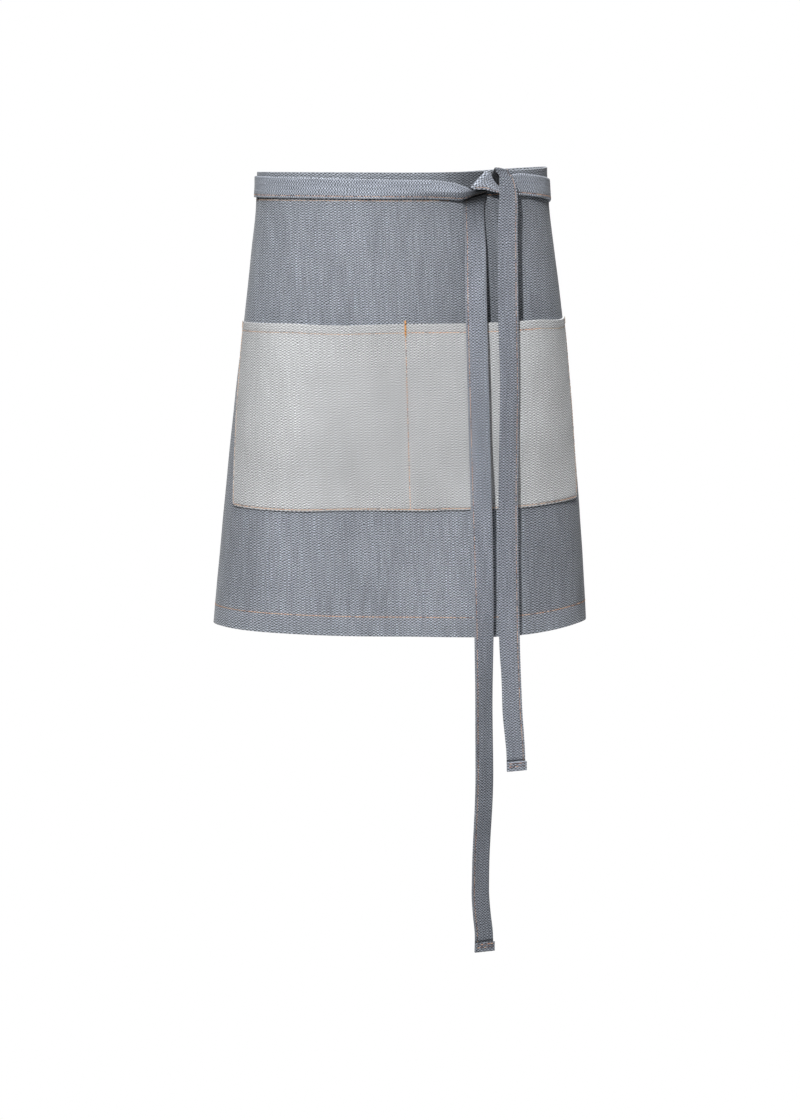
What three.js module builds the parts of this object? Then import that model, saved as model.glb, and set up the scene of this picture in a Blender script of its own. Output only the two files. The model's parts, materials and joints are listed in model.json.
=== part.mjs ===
// A waist apron of light denim in the form that it has when it is worn: a hemmed panel wrapped
// round the waist, a patch pocket with two compartments, and two ties that start at the panel's
// back corners, cross behind the back and are knotted in front, where their ends hang down.
// Sizes are millimetres. +Z is up and the front faces -Y. The origin is the centre of the waist
// at the height where the ties run.

import * as THREE from 'three';

// Form that the cloth is wrapped round
const waistHalfWidth = 150;
const waistFrontDepth = 98;
const waistBackDepth = 98;
const hemHalfWidth = 195;
const hemFrontDepth = 112;
const hemBackDepth = 118;
const hemSway = -2.5;
const fullness = 2.25;

// Panel
const panelLength = 470;
const backOpening = 87;
const clothThickness = 1;
const edgeAboveTies = 13.9;
const topHem = 30;
const bottomHem = 20;
const sideHem = 10;

// How the panel hangs on the body
const rightRise = 8;
const leftRise = 0.8;
const riseSpan = 300;
const riseSharpness = 2.2;
const backDroop = 9;
const droopSharpness = 1.3;
const sideShare = 0.56;
const plumbShare = 0.998;
const grainLean = 0.032;
const centreShift = -2.3;
const hemDip = 3.6;
const hemCornerRise = 3;

// Patch pocket
const pocketWidth = 400;
const pocketHeight = 189;
const pocketDrop = 151.4;
const pocketHem = 10;
const pocketTurnIn = 8;
const pocketBow = 9.5;
const bowSharpness = 1.2;

// Ties
const tieWidth = 22;
const tieThickness = 2;
const tieSewnLength = 25;
const longTail = 784;
const shortTail = 598;
const tipFold = 10;
const tipThickness = 3.4;
const tipWidth = 23.4;

// Knot
const knotAcross = 97;
const knotHeight = 2;

// Clearances and the spacing of the mesh
const clothGap = 0.3;
const layerGap = 0.4;
const hemStep = 0.6;
const panelPitch = 12;
const rowPitch = 36;
const closeRows = 90;
const pocketPitch = 10;
const tieTurnPitch = 0.04;
const tailPitch = 20;
const foldSteps = 6;
const arcSteps = 180;

// Levels of the form. `down` is the share of the panel's length, `spread` the share of the way
// from the waist's size to the hem's, and `sway` the share of the hem's shift to the side.
const levels = [
  { down: 0.0, spread: 0.0, sway: 0.1 },
  { down: 0.08, spread: 0.045, sway: -0.1 },
  { down: 0.17, spread: 0.155, sway: -0.25 },
  { down: 0.3, spread: 0.315, sway: -0.5 },
  { down: 0.5, spread: 0.553, sway: -0.15 },
  { down: 0.72, spread: 0.773, sway: 0.2 },
  { down: 0.9, spread: 0.927, sway: 0.65 },
  { down: 1.0, spread: 1.0, sway: 1.0 },
];

// Hanging ends. `down` is the share of the end's length below the knot, `over` its middle in tie
// widths from the knot's middle, and `turn` the degrees by which its right edge goes back.
const longTailRows = [
  { down: 0.04, over: -1.12, turn: 18 },
  { down: 0.08, over: -1.05, turn: 12 },
  { down: 0.15, over: -1.02, turn: 5 },
  { down: 0.26, over: -0.92, turn: 3 },
  { down: 0.4, over: -0.78, turn: 3 },
  { down: 0.48, over: -0.7, turn: 13 },
  { down: 0.59, over: -0.63, turn: 28 },
  { down: 0.67, over: -0.63, turn: 37 },
  { down: 0.77, over: -0.6, turn: 34 },
  { down: 0.89, over: -0.76, turn: 37 },
  { down: 0.93, over: -0.75, turn: 35 },
  { down: 0.975, over: -0.57, turn: 32 },
  { down: 1.0, over: -0.56, turn: 28 },
];
const shortTailRows = [
  { down: 0.05, over: 0.44, turn: 24 },
  { down: 0.19, over: 0.45, turn: 18 },
  { down: 0.34, over: 0.53, turn: 26 },
  { down: 0.53, over: 0.48, turn: 24 },
  { down: 0.77, over: 0.55, turn: 15 },
  { down: 0.84, over: 0.64, turn: 24 },
  { down: 0.91, over: 0.72, turn: 22 },
  { down: 0.96, over: 0.87, turn: 29 },
  { down: 1.0, over: 0.91, turn: 29 },
];

// The two tie bands in the knot, in tie widths from its middle. `ax`, `az` is the edge that is
// the upper one beside the knot, `bx`, `bz` the stitched lower one. `aOut` and `bOut` count the
// layers of tie from the panel outwards.
const shortTieEntry = [
  { ax: -3.24, az: 0.23, aOut: 1.0, bx: -3.24, bz: -0.65, bOut: 1.0 },
  { ax: -2.69, az: 0.19, aOut: 1.0, bx: -2.69, bz: -0.67, bOut: 1.0 },
  { ax: -2.17, az: 0.12, aOut: 1.5, bx: -2.15, bz: -0.69, bOut: 1.5 },
  { ax: -1.8, az: 0.01, aOut: 2.25, bx: -1.78, bz: -0.7, bOut: 2.25 },
  { ax: -1.53, az: -0.1, aOut: 2.25, bx: -1.51, bz: -0.63, bOut: 2.25 },
  { ax: -1.3, az: -0.23, aOut: 2.25, bx: -1.21, bz: -0.5, bOut: 2.25 },
  { ax: -1.08, az: -0.22, aOut: 2.25, bx: -0.92, bz: -0.42, bOut: 2.25 },
  { ax: -0.81, az: -0.06, aOut: 2.25, bx: -0.53, bz: -0.28, bOut: 2.25 },
  { ax: -0.58, az: 0.18, aOut: 2.25, bx: -0.13, bz: -0.08, bOut: 2.25 },
  { ax: -0.42, az: 0.42, aOut: 2.25, bx: 0.19, bz: 0.23, bOut: 2.25 },
];
const shortTieFold = {
  ax: -0.3, az: 0.66, bx: 0.28, bz: 0.57, from: 2.25, to: 4.5, awayX: 0.15, awayZ: 0.99,
};
const shortTieExit = [
  { ax: -0.15, az: 0.43, aOut: 4.5, bx: 0.43, bz: 0.36, bOut: 4.8 },
  { ax: -0.14, az: 0.16, aOut: 4.5, bx: 0.51, bz: 0.13, bOut: 5.2 },
  { ax: -0.13, az: -0.34, aOut: 4.5, bx: 0.57, bz: -0.34, bOut: 5.7 },
  { ax: -0.15, az: -0.89, aOut: 4.5, bx: 0.61, bz: -0.9, bOut: 5.7 },
];
const longTieEntry = [
  { ax: 1.33, az: 0.5, aOut: 1.4, bx: 1.34, bz: -0.5, bOut: 1.4 },
  { ax: 0.77, az: 0.52, aOut: 2.3, bx: 0.8, bz: -0.46, bOut: 2.3 },
  { ax: 0.36, az: 0.52, aOut: 3.25, bx: 0.36, bz: -0.41, bOut: 3.25 },
  { ax: 0.0, az: 0.56, aOut: 3.25, bx: 0.01, bz: -0.37, bOut: 3.25 },
  { ax: -0.29, az: 0.64, aOut: 3.25, bx: -0.32, bz: -0.31, bOut: 3.25 },
  { ax: -0.46, az: 0.63, aOut: 3.25, bx: -0.8, bz: -0.21, bOut: 3.25 },
];
const longTieFold = {
  ax: -0.54, az: 0.57, bx: -1.24, bz: -0.2, from: 3.25, to: 1.25, awayX: -0.73, awayZ: 0.68,
};
const longTieExit = [
  { ax: -0.47, az: 0.22, aOut: 1.25, bx: -1.41, bz: -0.41, bOut: 1.25 },
  { ax: -0.52, az: -0.21, aOut: 1.25, bx: -1.57, bz: -0.62, bOut: 1.25 },
  { ax: -0.64, az: -0.8, aOut: 1.25, bx: -1.62, bz: -0.94, bOut: 1.25 },
];

const clamp = THREE.MathUtils.clamp;
const lerp = THREE.MathUtils.lerp;

// Reads a column of a table at `at` on its key column, with a smooth curve that never overshoots.
function readTable(rows, key, column, at) {
  const last = rows.length - 1;
  if (at <= rows[0][key]) return rows[0][column];
  if (at >= rows[last][key]) return rows[last][column];
  const steepness = (i) =>
    (rows[i + 1][column] - rows[i][column]) / (rows[i + 1][key] - rows[i][key]);
  const slopeAt = (i) => {
    if (i === 0) return steepness(0);
    if (i === last) return steepness(last - 1);
    const before = steepness(i - 1);
    const after = steepness(i);
    return before * after <= 0 ? 0 : (2 * before * after) / (before + after);
  };
  const i = rows.findIndex((row, n) => n < last && at <= rows[n + 1][key]);
  const span = rows[i + 1][key] - rows[i][key];
  const t = (at - rows[i][key]) / span;
  const start = (1 + 2 * t) * (1 - t) ** 2 * rows[i][column];
  const leave = t * (1 - t) ** 2 * span * slopeAt(i);
  const end = t * t * (3 - 2 * t) * rows[i + 1][column];
  const arrive = t * t * (t - 1) * span * slopeAt(i + 1);
  return start + leave + end + arrive;
}

// Cross-section of the wrapped form at a height: a rounded oval, deeper or flatter at the back.
function formAt(z) {
  const down = clamp((edgeAboveTies - z) / (panelLength * plumbShare), 0, 1);
  const spread = readTable(levels, 'down', 'spread', down);
  return {
    half: lerp(waistHalfWidth, hemHalfWidth, spread),
    front: lerp(waistFrontDepth, hemFrontDepth, spread),
    back: lerp(waistBackDepth, hemBackDepth, spread),
    sway: hemSway * readTable(levels, 'down', 'sway', down),
  };
}

const ovalPower = (value) => Math.sign(value) * Math.abs(value) ** (2 / fullness);
const ovalGradient = (share) => Math.sign(share) * Math.abs(share) ** (fullness - 1);

// A point round the form. `angle` is 0 at the front and grows towards +X, and `out` is the
// distance outwards from the panel's outer face.
function pointRound(angle, z, out) {
  const form = formAt(z);
  const depth = Math.cos(angle) > 0 ? form.front : form.back;
  const x = form.half * ovalPower(Math.sin(angle));
  const y = -depth * ovalPower(Math.cos(angle));
  const slopeX = ovalGradient(x / form.half) / form.half;
  const slopeY = ovalGradient(y / depth) / depth;
  const size = Math.hypot(slopeX, slopeY);
  return new THREE.Vector3(
    x + form.sway + (slopeX / size) * out,
    y + (slopeY / size) * out,
    z,
  );
}

// Lengths along the section from its front middle, one for each of `arcSteps` equal angles.
const arcCache = new Map();
function arcLengths(z) {
  const level = z.toFixed(1);
  if (!arcCache.has(level)) {
    const lengths = [0];
    let previous = pointRound(0, z, 0);
    for (let i = 1; i <= arcSteps; i += 1) {
      const next = pointRound((Math.PI * i) / arcSteps, z, 0);
      lengths.push(lengths[i - 1] + Math.hypot(next.x - previous.x, next.y - previous.y));
      previous = next;
    }
    arcCache.set(level, lengths);
  }
  return arcCache.get(level);
}

function angleAtArc(arc, z) {
  const lengths = arcLengths(z);
  const reach = Math.abs(arc);
  const i = clamp(lengths.findIndex((length) => length >= reach), 1, arcSteps);
  const share = (reach - lengths[i - 1]) / (lengths[i] - lengths[i - 1]);
  return (Math.sign(arc) * Math.PI * (i - 1 + share)) / arcSteps;
}

function arcAtAngle(angle, z) {
  const lengths = arcLengths(z);
  const place = (Math.abs(angle) / Math.PI) * arcSteps;
  const i = clamp(Math.floor(place), 0, arcSteps - 1);
  return Math.sign(angle) * lerp(lengths[i], lengths[i + 1], place - i);
}

// Angle of the point of the front half that lies at `x`
function frontAngle(x, z) {
  const form = formAt(z);
  const share = clamp((x - form.sway) / form.half, -1, 1);
  return Math.asin(Math.sign(share) * Math.abs(share) ** (fullness / 2));
}

const girthAtWaist = 2 * arcLengths(0)[arcSteps];
const panelWidth = girthAtWaist - backOpening;

// Height by which the worn cloth is pulled up at its sides, more at the right, and droops towards
// its back corners
function liftAt(arc) {
  const half = panelWidth / 2;
  const reach = Math.abs(arc);
  const pull = Math.sin((Math.min(reach / riseSpan, 1) * Math.PI) / 2);
  const behind = clamp((reach / half - sideShare) / (1 - sideShare), 0, 1);
  const worn = arc > 0 ? rightRise * pull ** riseSharpness : leftRise * pull;
  return worn - backDroop * behind ** droopSharpness;
}

// The bottom edge dips at the right of the front and rises towards the left side.
function hemLiftAt(arc, down) {
  const reach = (down / panelLength) ** 3;
  const side = clamp(Math.abs(arc) / (panelWidth / 3), 0, 1);
  const shape = arc > 0 ? -hemDip * Math.sin(Math.PI * side) ** 2 : hemCornerRise * side ** 3;
  return reach * shape;
}

// A point of the panel's cloth. `across` runs from its middle line, `down` from its top edge.
function clothPoint(across, down, out) {
  const arc = across + centreShift + grainLean * down;
  const z = edgeAboveTies + liftAt(arc) + hemLiftAt(arc, down) - plumbShare * down;
  return pointRound(angleAtArc(arc, z), z, out);
}

// A closed solid between two grids of points that have the same columns and rows
function sheetGeometry(columns, rows, outerPoint, innerPoint) {
  const positions = [];
  const indices = [];
  for (const point of [outerPoint, innerPoint]) {
    for (const row of rows) {
      for (const column of columns) positions.push(...point(column, row).toArray());
    }
  }
  const wide = columns.length;
  const tall = rows.length;
  const index = (side, column, row) => side * wide * tall + row * wide + column;
  const quad = (a, b, c, d) => indices.push(a, b, c, a, c, d);
  for (let r = 0; r < tall - 1; r += 1) {
    for (let c = 0; c < wide - 1; c += 1) {
      quad(index(0, c, r), index(0, c, r + 1), index(0, c + 1, r + 1), index(0, c + 1, r));
      quad(index(1, c, r), index(1, c + 1, r), index(1, c + 1, r + 1), index(1, c, r + 1));
    }
  }
  const right = wide - 1;
  const bottom = tall - 1;
  for (let r = 0; r < bottom; r += 1) {
    quad(index(0, 0, r), index(1, 0, r), index(1, 0, r + 1), index(0, 0, r + 1));
    quad(index(0, right, r), index(0, right, r + 1), index(1, right, r + 1), index(1, right, r));
  }
  for (let c = 0; c < right; c += 1) {
    quad(index(0, c, 0), index(0, c + 1, 0), index(1, c + 1, 0), index(1, c, 0));
    quad(index(0, c, bottom), index(1, c, bottom), index(1, c + 1, bottom), index(0, c + 1, bottom));
  }
  return closedGeometry(positions, indices);
}

// Makes the geometry, with its faces turned outwards
function closedGeometry(positions, indices) {
  const corner = (i) => new THREE.Vector3().fromArray(positions, 3 * indices[i]);
  let volume = 0;
  for (let i = 0; i < indices.length; i += 3) {
    volume += corner(i).dot(corner(i + 1).cross(corner(i + 2)));
  }
  if (volume < 0) indices.reverse();
  const geometry = new THREE.BufferGeometry();
  geometry.setAttribute('position', new THREE.Float32BufferAttribute(positions, 3));
  geometry.setIndex(indices);
  geometry.computeVertexNormals();
  return geometry;
}

// Grid lines from `start` to `end`, with a doubled line where the number of layers steps
function gridLines(start, end, pitch, steps) {
  const stops = [start, ...steps.flatMap((at) => [at - hemStep / 2, at + hemStep / 2]), end];
  const lines = [start];
  for (let i = 1; i < stops.length; i += 1) {
    const parts = Math.max(1, Math.round((stops[i] - stops[i - 1]) / pitch));
    for (let n = 1; n <= parts; n += 1) lines.push(lerp(stops[i - 1], stops[i], n / parts));
  }
  return lines;
}

function panelGeometry() {
  const half = panelWidth / 2;
  const columns = gridLines(-half, half, panelPitch, [-half + sideHem, half - sideHem]);
  const upper = gridLines(0, closeRows, panelPitch, [topHem]);
  const lower = gridLines(closeRows, panelLength, rowPitch, [panelLength - bottomHem]);
  const rows = [...upper, ...lower.slice(1)];
  const layersAt = (across, down) => {
    const inHem = down < topHem || down > panelLength - bottomHem;
    const inSideHem = Math.abs(across) > half - sideHem;
    return inHem || inSideHem ? 2 : 1;
  };
  const outer = (across, down) => clothPoint(across, down, 0);
  const inner = (across, down) =>
    clothPoint(across, down, -clothThickness * layersAt(across, down));
  return sheetGeometry(columns, rows, outer, inner);
}

// How far a compartment's cloth bows out between the seams at its sides and its bottom
function bowAt(across, fall) {
  const seam = pocketTurnIn / 2;
  const open = clamp((Math.abs(across) - seam) / (pocketWidth / 2 - 2 * seam), 0, 1);
  const height = clamp((pocketHeight - seam - fall) / (pocketHeight / 2), 0, 1);
  const upward = height * height * (3 - 2 * height);
  return pocketBow * Math.sin(Math.PI * open) ** bowSharpness * upward;
}

// Distance of the pocket's outer face from the panel's
const pocketFaceOut = (across, fall) => clothGap + 2 * clothThickness + bowAt(across, fall);

function pocketGeometry() {
  const half = pocketWidth / 2;
  const inset = half - pocketTurnIn;
  const columns = gridLines(-half, half, pocketPitch, [-inset, inset]);
  const steps = [pocketHem, pocketHeight - pocketTurnIn];
  const rows = gridLines(0, pocketHeight, 2 * pocketPitch, steps);
  const layersAt = (across, fall) => {
    const turnedIn = Math.abs(across) > inset || fall > pocketHeight - pocketTurnIn;
    return turnedIn || fall < pocketHem ? 2 : 1;
  };
  const outer = (across, fall) =>
    clothPoint(across, pocketDrop + fall, pocketFaceOut(across, fall));
  const inner = (across, fall) => {
    const wall = clothThickness * layersAt(across, fall);
    return clothPoint(across, pocketDrop + fall, pocketFaceOut(across, fall) - wall);
  };
  return sheetGeometry(columns, rows, outer, inner);
}

// A flat band lofted through stations. Each station has the middles of the band's two edges, its
// thickness and the distance by which its middle is moved forward.
function bandGeometry(stations) {
  const positions = [];
  const indices = [];
  const last = stations.length - 1;
  const middle = (i) => stations[i].a.clone().add(stations[i].b).multiplyScalar(0.5);
  stations.forEach(({ a, b, thick, forward }, i) => {
    const along = middle(Math.min(i + 1, last)).sub(middle(Math.max(i - 1, 0)));
    const half = b.clone().sub(a).cross(along).setLength(thick / 2);
    const shift = new THREE.Vector3(0, -forward, 0);
    for (const [edge, side] of [[a, 1], [b, 1], [b, -1], [a, -1]]) {
      positions.push(...edge.clone().add(shift).addScaledVector(half, side).toArray());
    }
  });
  for (let i = 0; i < last; i += 1) {
    for (let n = 0; n < 4; n += 1) {
      const next = (n + 1) % 4;
      indices.push(4 * i + n, 4 * i + next, 4 * i + 4 + next);
      indices.push(4 * i + n, 4 * i + 4 + next, 4 * i + 4 + n);
    }
  }
  const end = 4 * last;
  indices.push(0, 2, 1, 0, 3, 2, end, end + 1, end + 2, end, end + 2, end + 3);
  return closedGeometry(positions, indices);
}

const station = (a, b, thick = tieThickness, forward = 0) => ({ a, b, thick, forward });
const layerOut = (layer) => layerGap + tieThickness / 2 + (layer - 1) * (tieThickness + layerGap);

// Stretch of a tie round the waist. `rise` is its middle and `width` its width, in tie widths.
function waistStations(rows) {
  const first = rows[0].angle;
  const final = rows[rows.length - 1].angle;
  const direction = Math.sign(final - first);
  const keyed = rows.map((row) => ({ ...row, turned: direction * (row.angle - first) }));
  const count = Math.ceil(Math.abs(final - first) / tieTurnPitch);
  const stations = [];
  for (let i = 0; i < count; i += 1) {
    const angle = lerp(first, final, i / count);
    const read = (column) => readTable(keyed, 'turned', column, direction * (angle - first));
    const middle = read('rise') * tieWidth;
    const half = (read('width') * tieWidth) / 2;
    const out = layerOut(read('layer'));
    const wrapped = Math.atan2(Math.sin(angle), Math.cos(angle));
    stations.push(station(
      pointRound(wrapped, middle + half, out),
      pointRound(wrapped, middle - half, out),
    ));
  }
  return stations;
}

// A point of the knot, in tie widths from its middle and layers from the panel
function knotPoint(x, z, layer, moveX = 0, moveZ = 0) {
  const height = knotHeight + z * tieWidth + moveZ;
  const across = knotAcross + x * tieWidth + moveX;
  return pointRound(frontAngle(across, height), height, layerOut(layer));
}

const knotStations = (rows) => rows.map((row) => station(
  knotPoint(row.ax, row.az, row.aOut),
  knotPoint(row.bx, row.bz, row.bOut),
));

// A half turn of the band about the line from a to b, from one layer to another
function foldStations(fold) {
  const radius = Math.abs(layerOut(fold.from) - layerOut(fold.to)) / 2;
  const stations = [];
  for (let i = 0; i <= foldSteps; i += 1) {
    const turn = (Math.PI * i) / foldSteps;
    const layer = lerp(fold.from, fold.to, (1 - Math.cos(turn)) / 2);
    const moveX = fold.awayX * radius * Math.sin(turn);
    const moveZ = fold.awayZ * radius * Math.sin(turn);
    stations.push(station(
      knotPoint(fold.ax, fold.az, layer, moveX, moveZ),
      knotPoint(fold.bx, fold.bz, layer, moveX, moveZ),
    ));
  }
  return stations;
}

// Distance forwards, towards -Y, that a band's middle needs at (x, z) to lie clear of the pocket
// and the panel behind it
function restForward(x, z, turn) {
  const needs = [-0.5, -0.25, 0, 0.25, 0.5].map((share) => {
    const place = x + share * tieWidth * Math.cos(turn);
    const angle = frontAngle(place, z);
    const arc = arcAtAngle(angle, z);
    const down = (edgeAboveTies + liftAt(arc) - z) / plumbShare;
    const across = arc - centreShift - grainLean * down;
    const fall = down - pocketDrop;
    const nearPocket = fall > -clothThickness && fall < pocketHeight + clothThickness;
    const onPocket = nearPocket && Math.abs(across) < pocketWidth / 2;
    const face = onPocket ? pocketFaceOut(across, clamp(fall, 0, pocketHeight)) : 0;
    const surface = pointRound(angle, z, 0);
    const lean = Math.abs(pointRound(angle, z, 1).y - surface.y);
    const stand = (face + clothGap) / lean + tieThickness / 2 / Math.cos(turn) + clothGap;
    return -surface.y + stand + share * tieWidth * Math.sin(turn);
  });
  return Math.max(...needs);
}

// Distances forwards of a band that is drawn taut over what it rests on and hangs plumb below
// its foremost point
function tautOver(heights, needs) {
  const foremost = Math.max(...needs);
  const held = [...needs.slice(0, -1), foremost];
  return heights.map((z, i) => {
    let forward = held[i];
    for (let j = 0; j <= i; j += 1) {
      for (let k = i; k < heights.length; k += 1) {
        if (k > j) {
          const share = (z - heights[j]) / (heights[k] - heights[j]);
          forward = Math.max(forward, lerp(held[j], held[k], share));
        }
      }
    }
    return forward;
  });
}

// A hanging end from the last station of the knot down to its tip, with the tip folded back on
// itself
function tailStations(rows, length, knotEnd) {
  const top = knotEnd.a.clone().add(knotEnd.b).multiplyScalar(0.5);
  const foldTop = knotHeight - length + tipFold;
  const count = Math.ceil((top.z - foldTop) / tailPitch);
  const heights = Array.from({ length: count + 1 }, (_, i) => lerp(top.z, foldTop, i / count));
  const placeAt = (z) => {
    const down = (knotHeight - z) / length;
    return {
      x: knotAcross + readTable(rows, 'down', 'over', down) * tieWidth,
      turn: THREE.MathUtils.degToRad(readTable(rows, 'down', 'turn', down)),
    };
  };
  const needs = heights.map((z) => restForward(placeAt(z).x, z, placeAt(z).turn));
  needs[0] = -top.y;
  const forwards = tautOver(heights, needs);
  const bandAt = (z, forward, width, thick, extra) => {
    const { x, turn } = placeAt(z);
    const halfX = (width / 2) * Math.cos(turn);
    const halfY = (width / 2) * Math.sin(turn);
    const left = new THREE.Vector3(x - halfX, -forward - halfY, z);
    const right = new THREE.Vector3(x + halfX, -forward + halfY, z);
    return knotEnd.a.x < knotEnd.b.x
      ? station(left, right, thick, extra)
      : station(right, left, thick, extra);
  };
  const stations = heights
    .slice(1)
    .map((z, i) => bandAt(z, forwards[i + 1], tieWidth, tieThickness, 0));
  const hang = forwards[count];
  const extra = (tipThickness - tieThickness) / 2;
  stations.push(bandAt(foldTop - hemStep, hang, tipWidth, tipThickness, extra));
  stations.push(bandAt(foldTop - tipFold, hang, tipWidth, tipThickness, extra));
  return stations;
}

// The edges of the panel's back corners and the inner ends of the sewn tie ends, as angles
const rightEdge = angleAtArc(panelWidth / 2 + centreShift, 0);
const rightRoot = angleAtArc(panelWidth / 2 + centreShift - tieSewnLength, 0);
const leftEdge = angleAtArc(-panelWidth / 2 + centreShift, 0);
const leftRoot = angleAtArc(-panelWidth / 2 + centreShift + tieSewnLength, 0);
const side = Math.PI / 2;
const round = 2 * Math.PI;

// Where a band enters the knot, as a row of its stretch round the waist
function entryRow(row, wraps) {
  const height = knotHeight + ((row.az + row.bz) / 2) * tieWidth;
  return {
    angle: frontAngle(knotAcross + row.ax * tieWidth, height) + wraps,
    layer: row.aOut,
    rise: height / tieWidth,
    width: row.az - row.bz,
  };
}

function shortTieGeometry() {
  const run = waistStations([
    { angle: rightRoot, layer: 1, rise: 0, width: 1 },
    { angle: rightEdge, layer: 1, rise: 0, width: 1 },
    { angle: Math.PI, layer: 2.1, rise: 0.03, width: 1 },
    { angle: round + leftRoot, layer: 2.1, rise: 0, width: 1 },
    { angle: round - 1.3 * side, layer: 1, rise: 0, width: 1 },
    { angle: round - side, layer: 1, rise: 0, width: 1 },
    entryRow(shortTieEntry[0], round),
  ]);
  const knot = [
    ...knotStations(shortTieEntry),
    ...foldStations(shortTieFold),
    ...knotStations(shortTieExit),
  ];
  const tail = tailStations(shortTailRows, shortTail, knot[knot.length - 1]);
  return bandGeometry([...run, ...knot, ...tail]);
}

function longTieGeometry() {
  const run = waistStations([
    { angle: leftRoot, layer: 1, rise: -0.3, width: 1 },
    { angle: leftEdge, layer: 1, rise: -0.3, width: 1 },
    { angle: -Math.PI, layer: 1, rise: -1.06, width: 1 },
    { angle: rightEdge - round, layer: 1, rise: -1.06, width: 1 },
    { angle: rightRoot - round, layer: 1, rise: -1.06, width: 1 },
    { angle: side - round, layer: 1, rise: -0.17, width: 1 },
    entryRow(longTieEntry[0], -round),
  ]);
  const knot = [
    ...knotStations(longTieEntry),
    ...foldStations(longTieFold),
    ...knotStations(longTieExit),
  ];
  const tail = tailStations(longTailRows, longTail, knot[knot.length - 1]);
  return bandGeometry([...run, ...knot, ...tail]);
}

const denim = { color: 0x828996, roughness: 0.92, metalness: 0 };
const denimReverse = { color: 0xbec3c6, roughness: 0.92, metalness: 0 };
const tieDenim = { color: 0x858b98, roughness: 0.9, metalness: 0 };

const apron = new THREE.Group();
function addPiece(name, geometry, finish) {
  const piece = new THREE.Mesh(geometry, new THREE.MeshStandardMaterial(finish));
  piece.name = name;
  apron.add(piece);
}

addPiece('front_panel', panelGeometry(), denim);
addPiece('patch_pocket', pocketGeometry(), denimReverse);
addPiece('short_end_tie', shortTieGeometry(), tieDenim);
addPiece('long_end_tie', longTieGeometry(), tieDenim);

export default apron;
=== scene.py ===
# %% [markdown]
# # A waist apron of light denim
#
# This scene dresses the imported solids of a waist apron: a hemmed panel bent round into an oval,
# a divided patch pocket that is cut from the same cloth turned to its pale side, and two ties
# that cross at the back and are knotted in front.
#
# The solids are the frame that everything has to fit. They could be kept and only painted, but
# their facets, plain edges and missing seams would show, so each of them is replaced here by a
# finer piece of cloth that follows the same form.

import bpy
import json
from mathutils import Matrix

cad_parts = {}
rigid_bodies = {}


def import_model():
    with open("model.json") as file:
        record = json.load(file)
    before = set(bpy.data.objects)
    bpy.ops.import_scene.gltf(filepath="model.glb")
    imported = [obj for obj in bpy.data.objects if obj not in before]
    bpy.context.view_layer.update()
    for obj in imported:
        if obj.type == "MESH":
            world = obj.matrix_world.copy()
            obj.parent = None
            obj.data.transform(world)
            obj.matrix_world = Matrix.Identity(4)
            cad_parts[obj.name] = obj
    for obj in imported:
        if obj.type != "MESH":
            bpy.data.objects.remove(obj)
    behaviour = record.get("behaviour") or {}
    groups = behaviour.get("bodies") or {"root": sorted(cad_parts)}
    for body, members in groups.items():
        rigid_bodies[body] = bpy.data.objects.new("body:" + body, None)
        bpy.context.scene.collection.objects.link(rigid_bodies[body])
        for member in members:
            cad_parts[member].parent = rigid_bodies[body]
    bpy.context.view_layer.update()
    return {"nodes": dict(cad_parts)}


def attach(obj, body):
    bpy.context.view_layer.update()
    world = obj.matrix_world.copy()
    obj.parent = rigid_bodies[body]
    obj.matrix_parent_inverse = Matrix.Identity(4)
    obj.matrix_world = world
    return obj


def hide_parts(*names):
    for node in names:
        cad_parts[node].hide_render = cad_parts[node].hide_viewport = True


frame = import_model()
print("solids:", sorted(frame["nodes"]))

# %% [markdown]
# ## Working in numbers
#
# A piece of hanging cloth has no simple form to start from, so every piece is made from formulas:
# a grid of points is worked out with numpy and handed to Blender as a mesh. Sculpting would be
# freer, but it can't be repeated exactly. The sizes below are millimetres, because cloth is cut
# in millimetres, and they become metres only when a mesh is made.

# %% Imports and the helpers that most shapes use
import json
import math

import bpy
import numpy as np
from mathutils import Vector

MM = 0.001


def hermite(keys, values, slopes, at):
    """Values at `at` on the curve that has these values and slopes at its keys."""
    spans = np.diff(keys)
    i = np.clip(np.searchsorted(keys, at, side="left") - 1, 0, len(spans) - 1)
    t = (at - keys[i]) / spans[i]
    span = spans[i]
    if values.ndim > 1:
        t, span = t[:, None], span[:, None]
    start = (1 + 2 * t) * (1 - t) ** 2 * values[i] + t * (1 - t) ** 2 * span * slopes[i]
    end = t * t * (3 - 2 * t) * values[i + 1] + t * t * (t - 1) * span * slopes[i + 1]
    return start + end


def read_table(keys, values, at):
    """Reads a table at `at`, with a smooth curve that never overshoots its values."""
    keys, values = np.asarray(keys, float), np.asarray(values, float)
    steep = np.diff(values) / np.diff(keys)
    before, after = steep[:-1], steep[1:]
    together = before * after > 0
    inner = np.where(together, 2 * before * after / np.where(together, before + after, 1), 0)
    slopes = np.concatenate([steep[:1], inner, steep[-1:]])
    return hermite(keys, values, slopes, np.clip(at, keys[0], keys[-1]))


def through(places, points, at):
    """Points at `at` on a smooth curve through points that lie at `places` along it."""
    spans = np.diff(places)[:, None]
    steep = np.diff(points, axis=0) / spans
    inner = (steep[:-1] * spans[1:] + steep[1:] * spans[:-1]) / (spans[:-1] + spans[1:])
    slopes = np.vstack([steep[:1], inner, steep[-1:]])
    return hermite(places, points, slopes, np.clip(at, places[0], places[-1]))


def ramp(value, low, high):
    """0 below `low`, 1 above `high` and in between on the way."""
    return np.clip((value - low) / (high - low), 0, 1)


def lengths_along(path):
    """The length from the start of a path to each of its points."""
    return np.concatenate([[0], np.cumsum(np.linalg.norm(np.diff(path, axis=0), axis=1))])


def unit(vectors):
    return vectors / np.linalg.norm(vectors, axis=1)[:, None]


print("a table read halfway:", float(read_table([0, 1, 2], [0, 1, 4], np.array([1.5]))[0]))

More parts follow.
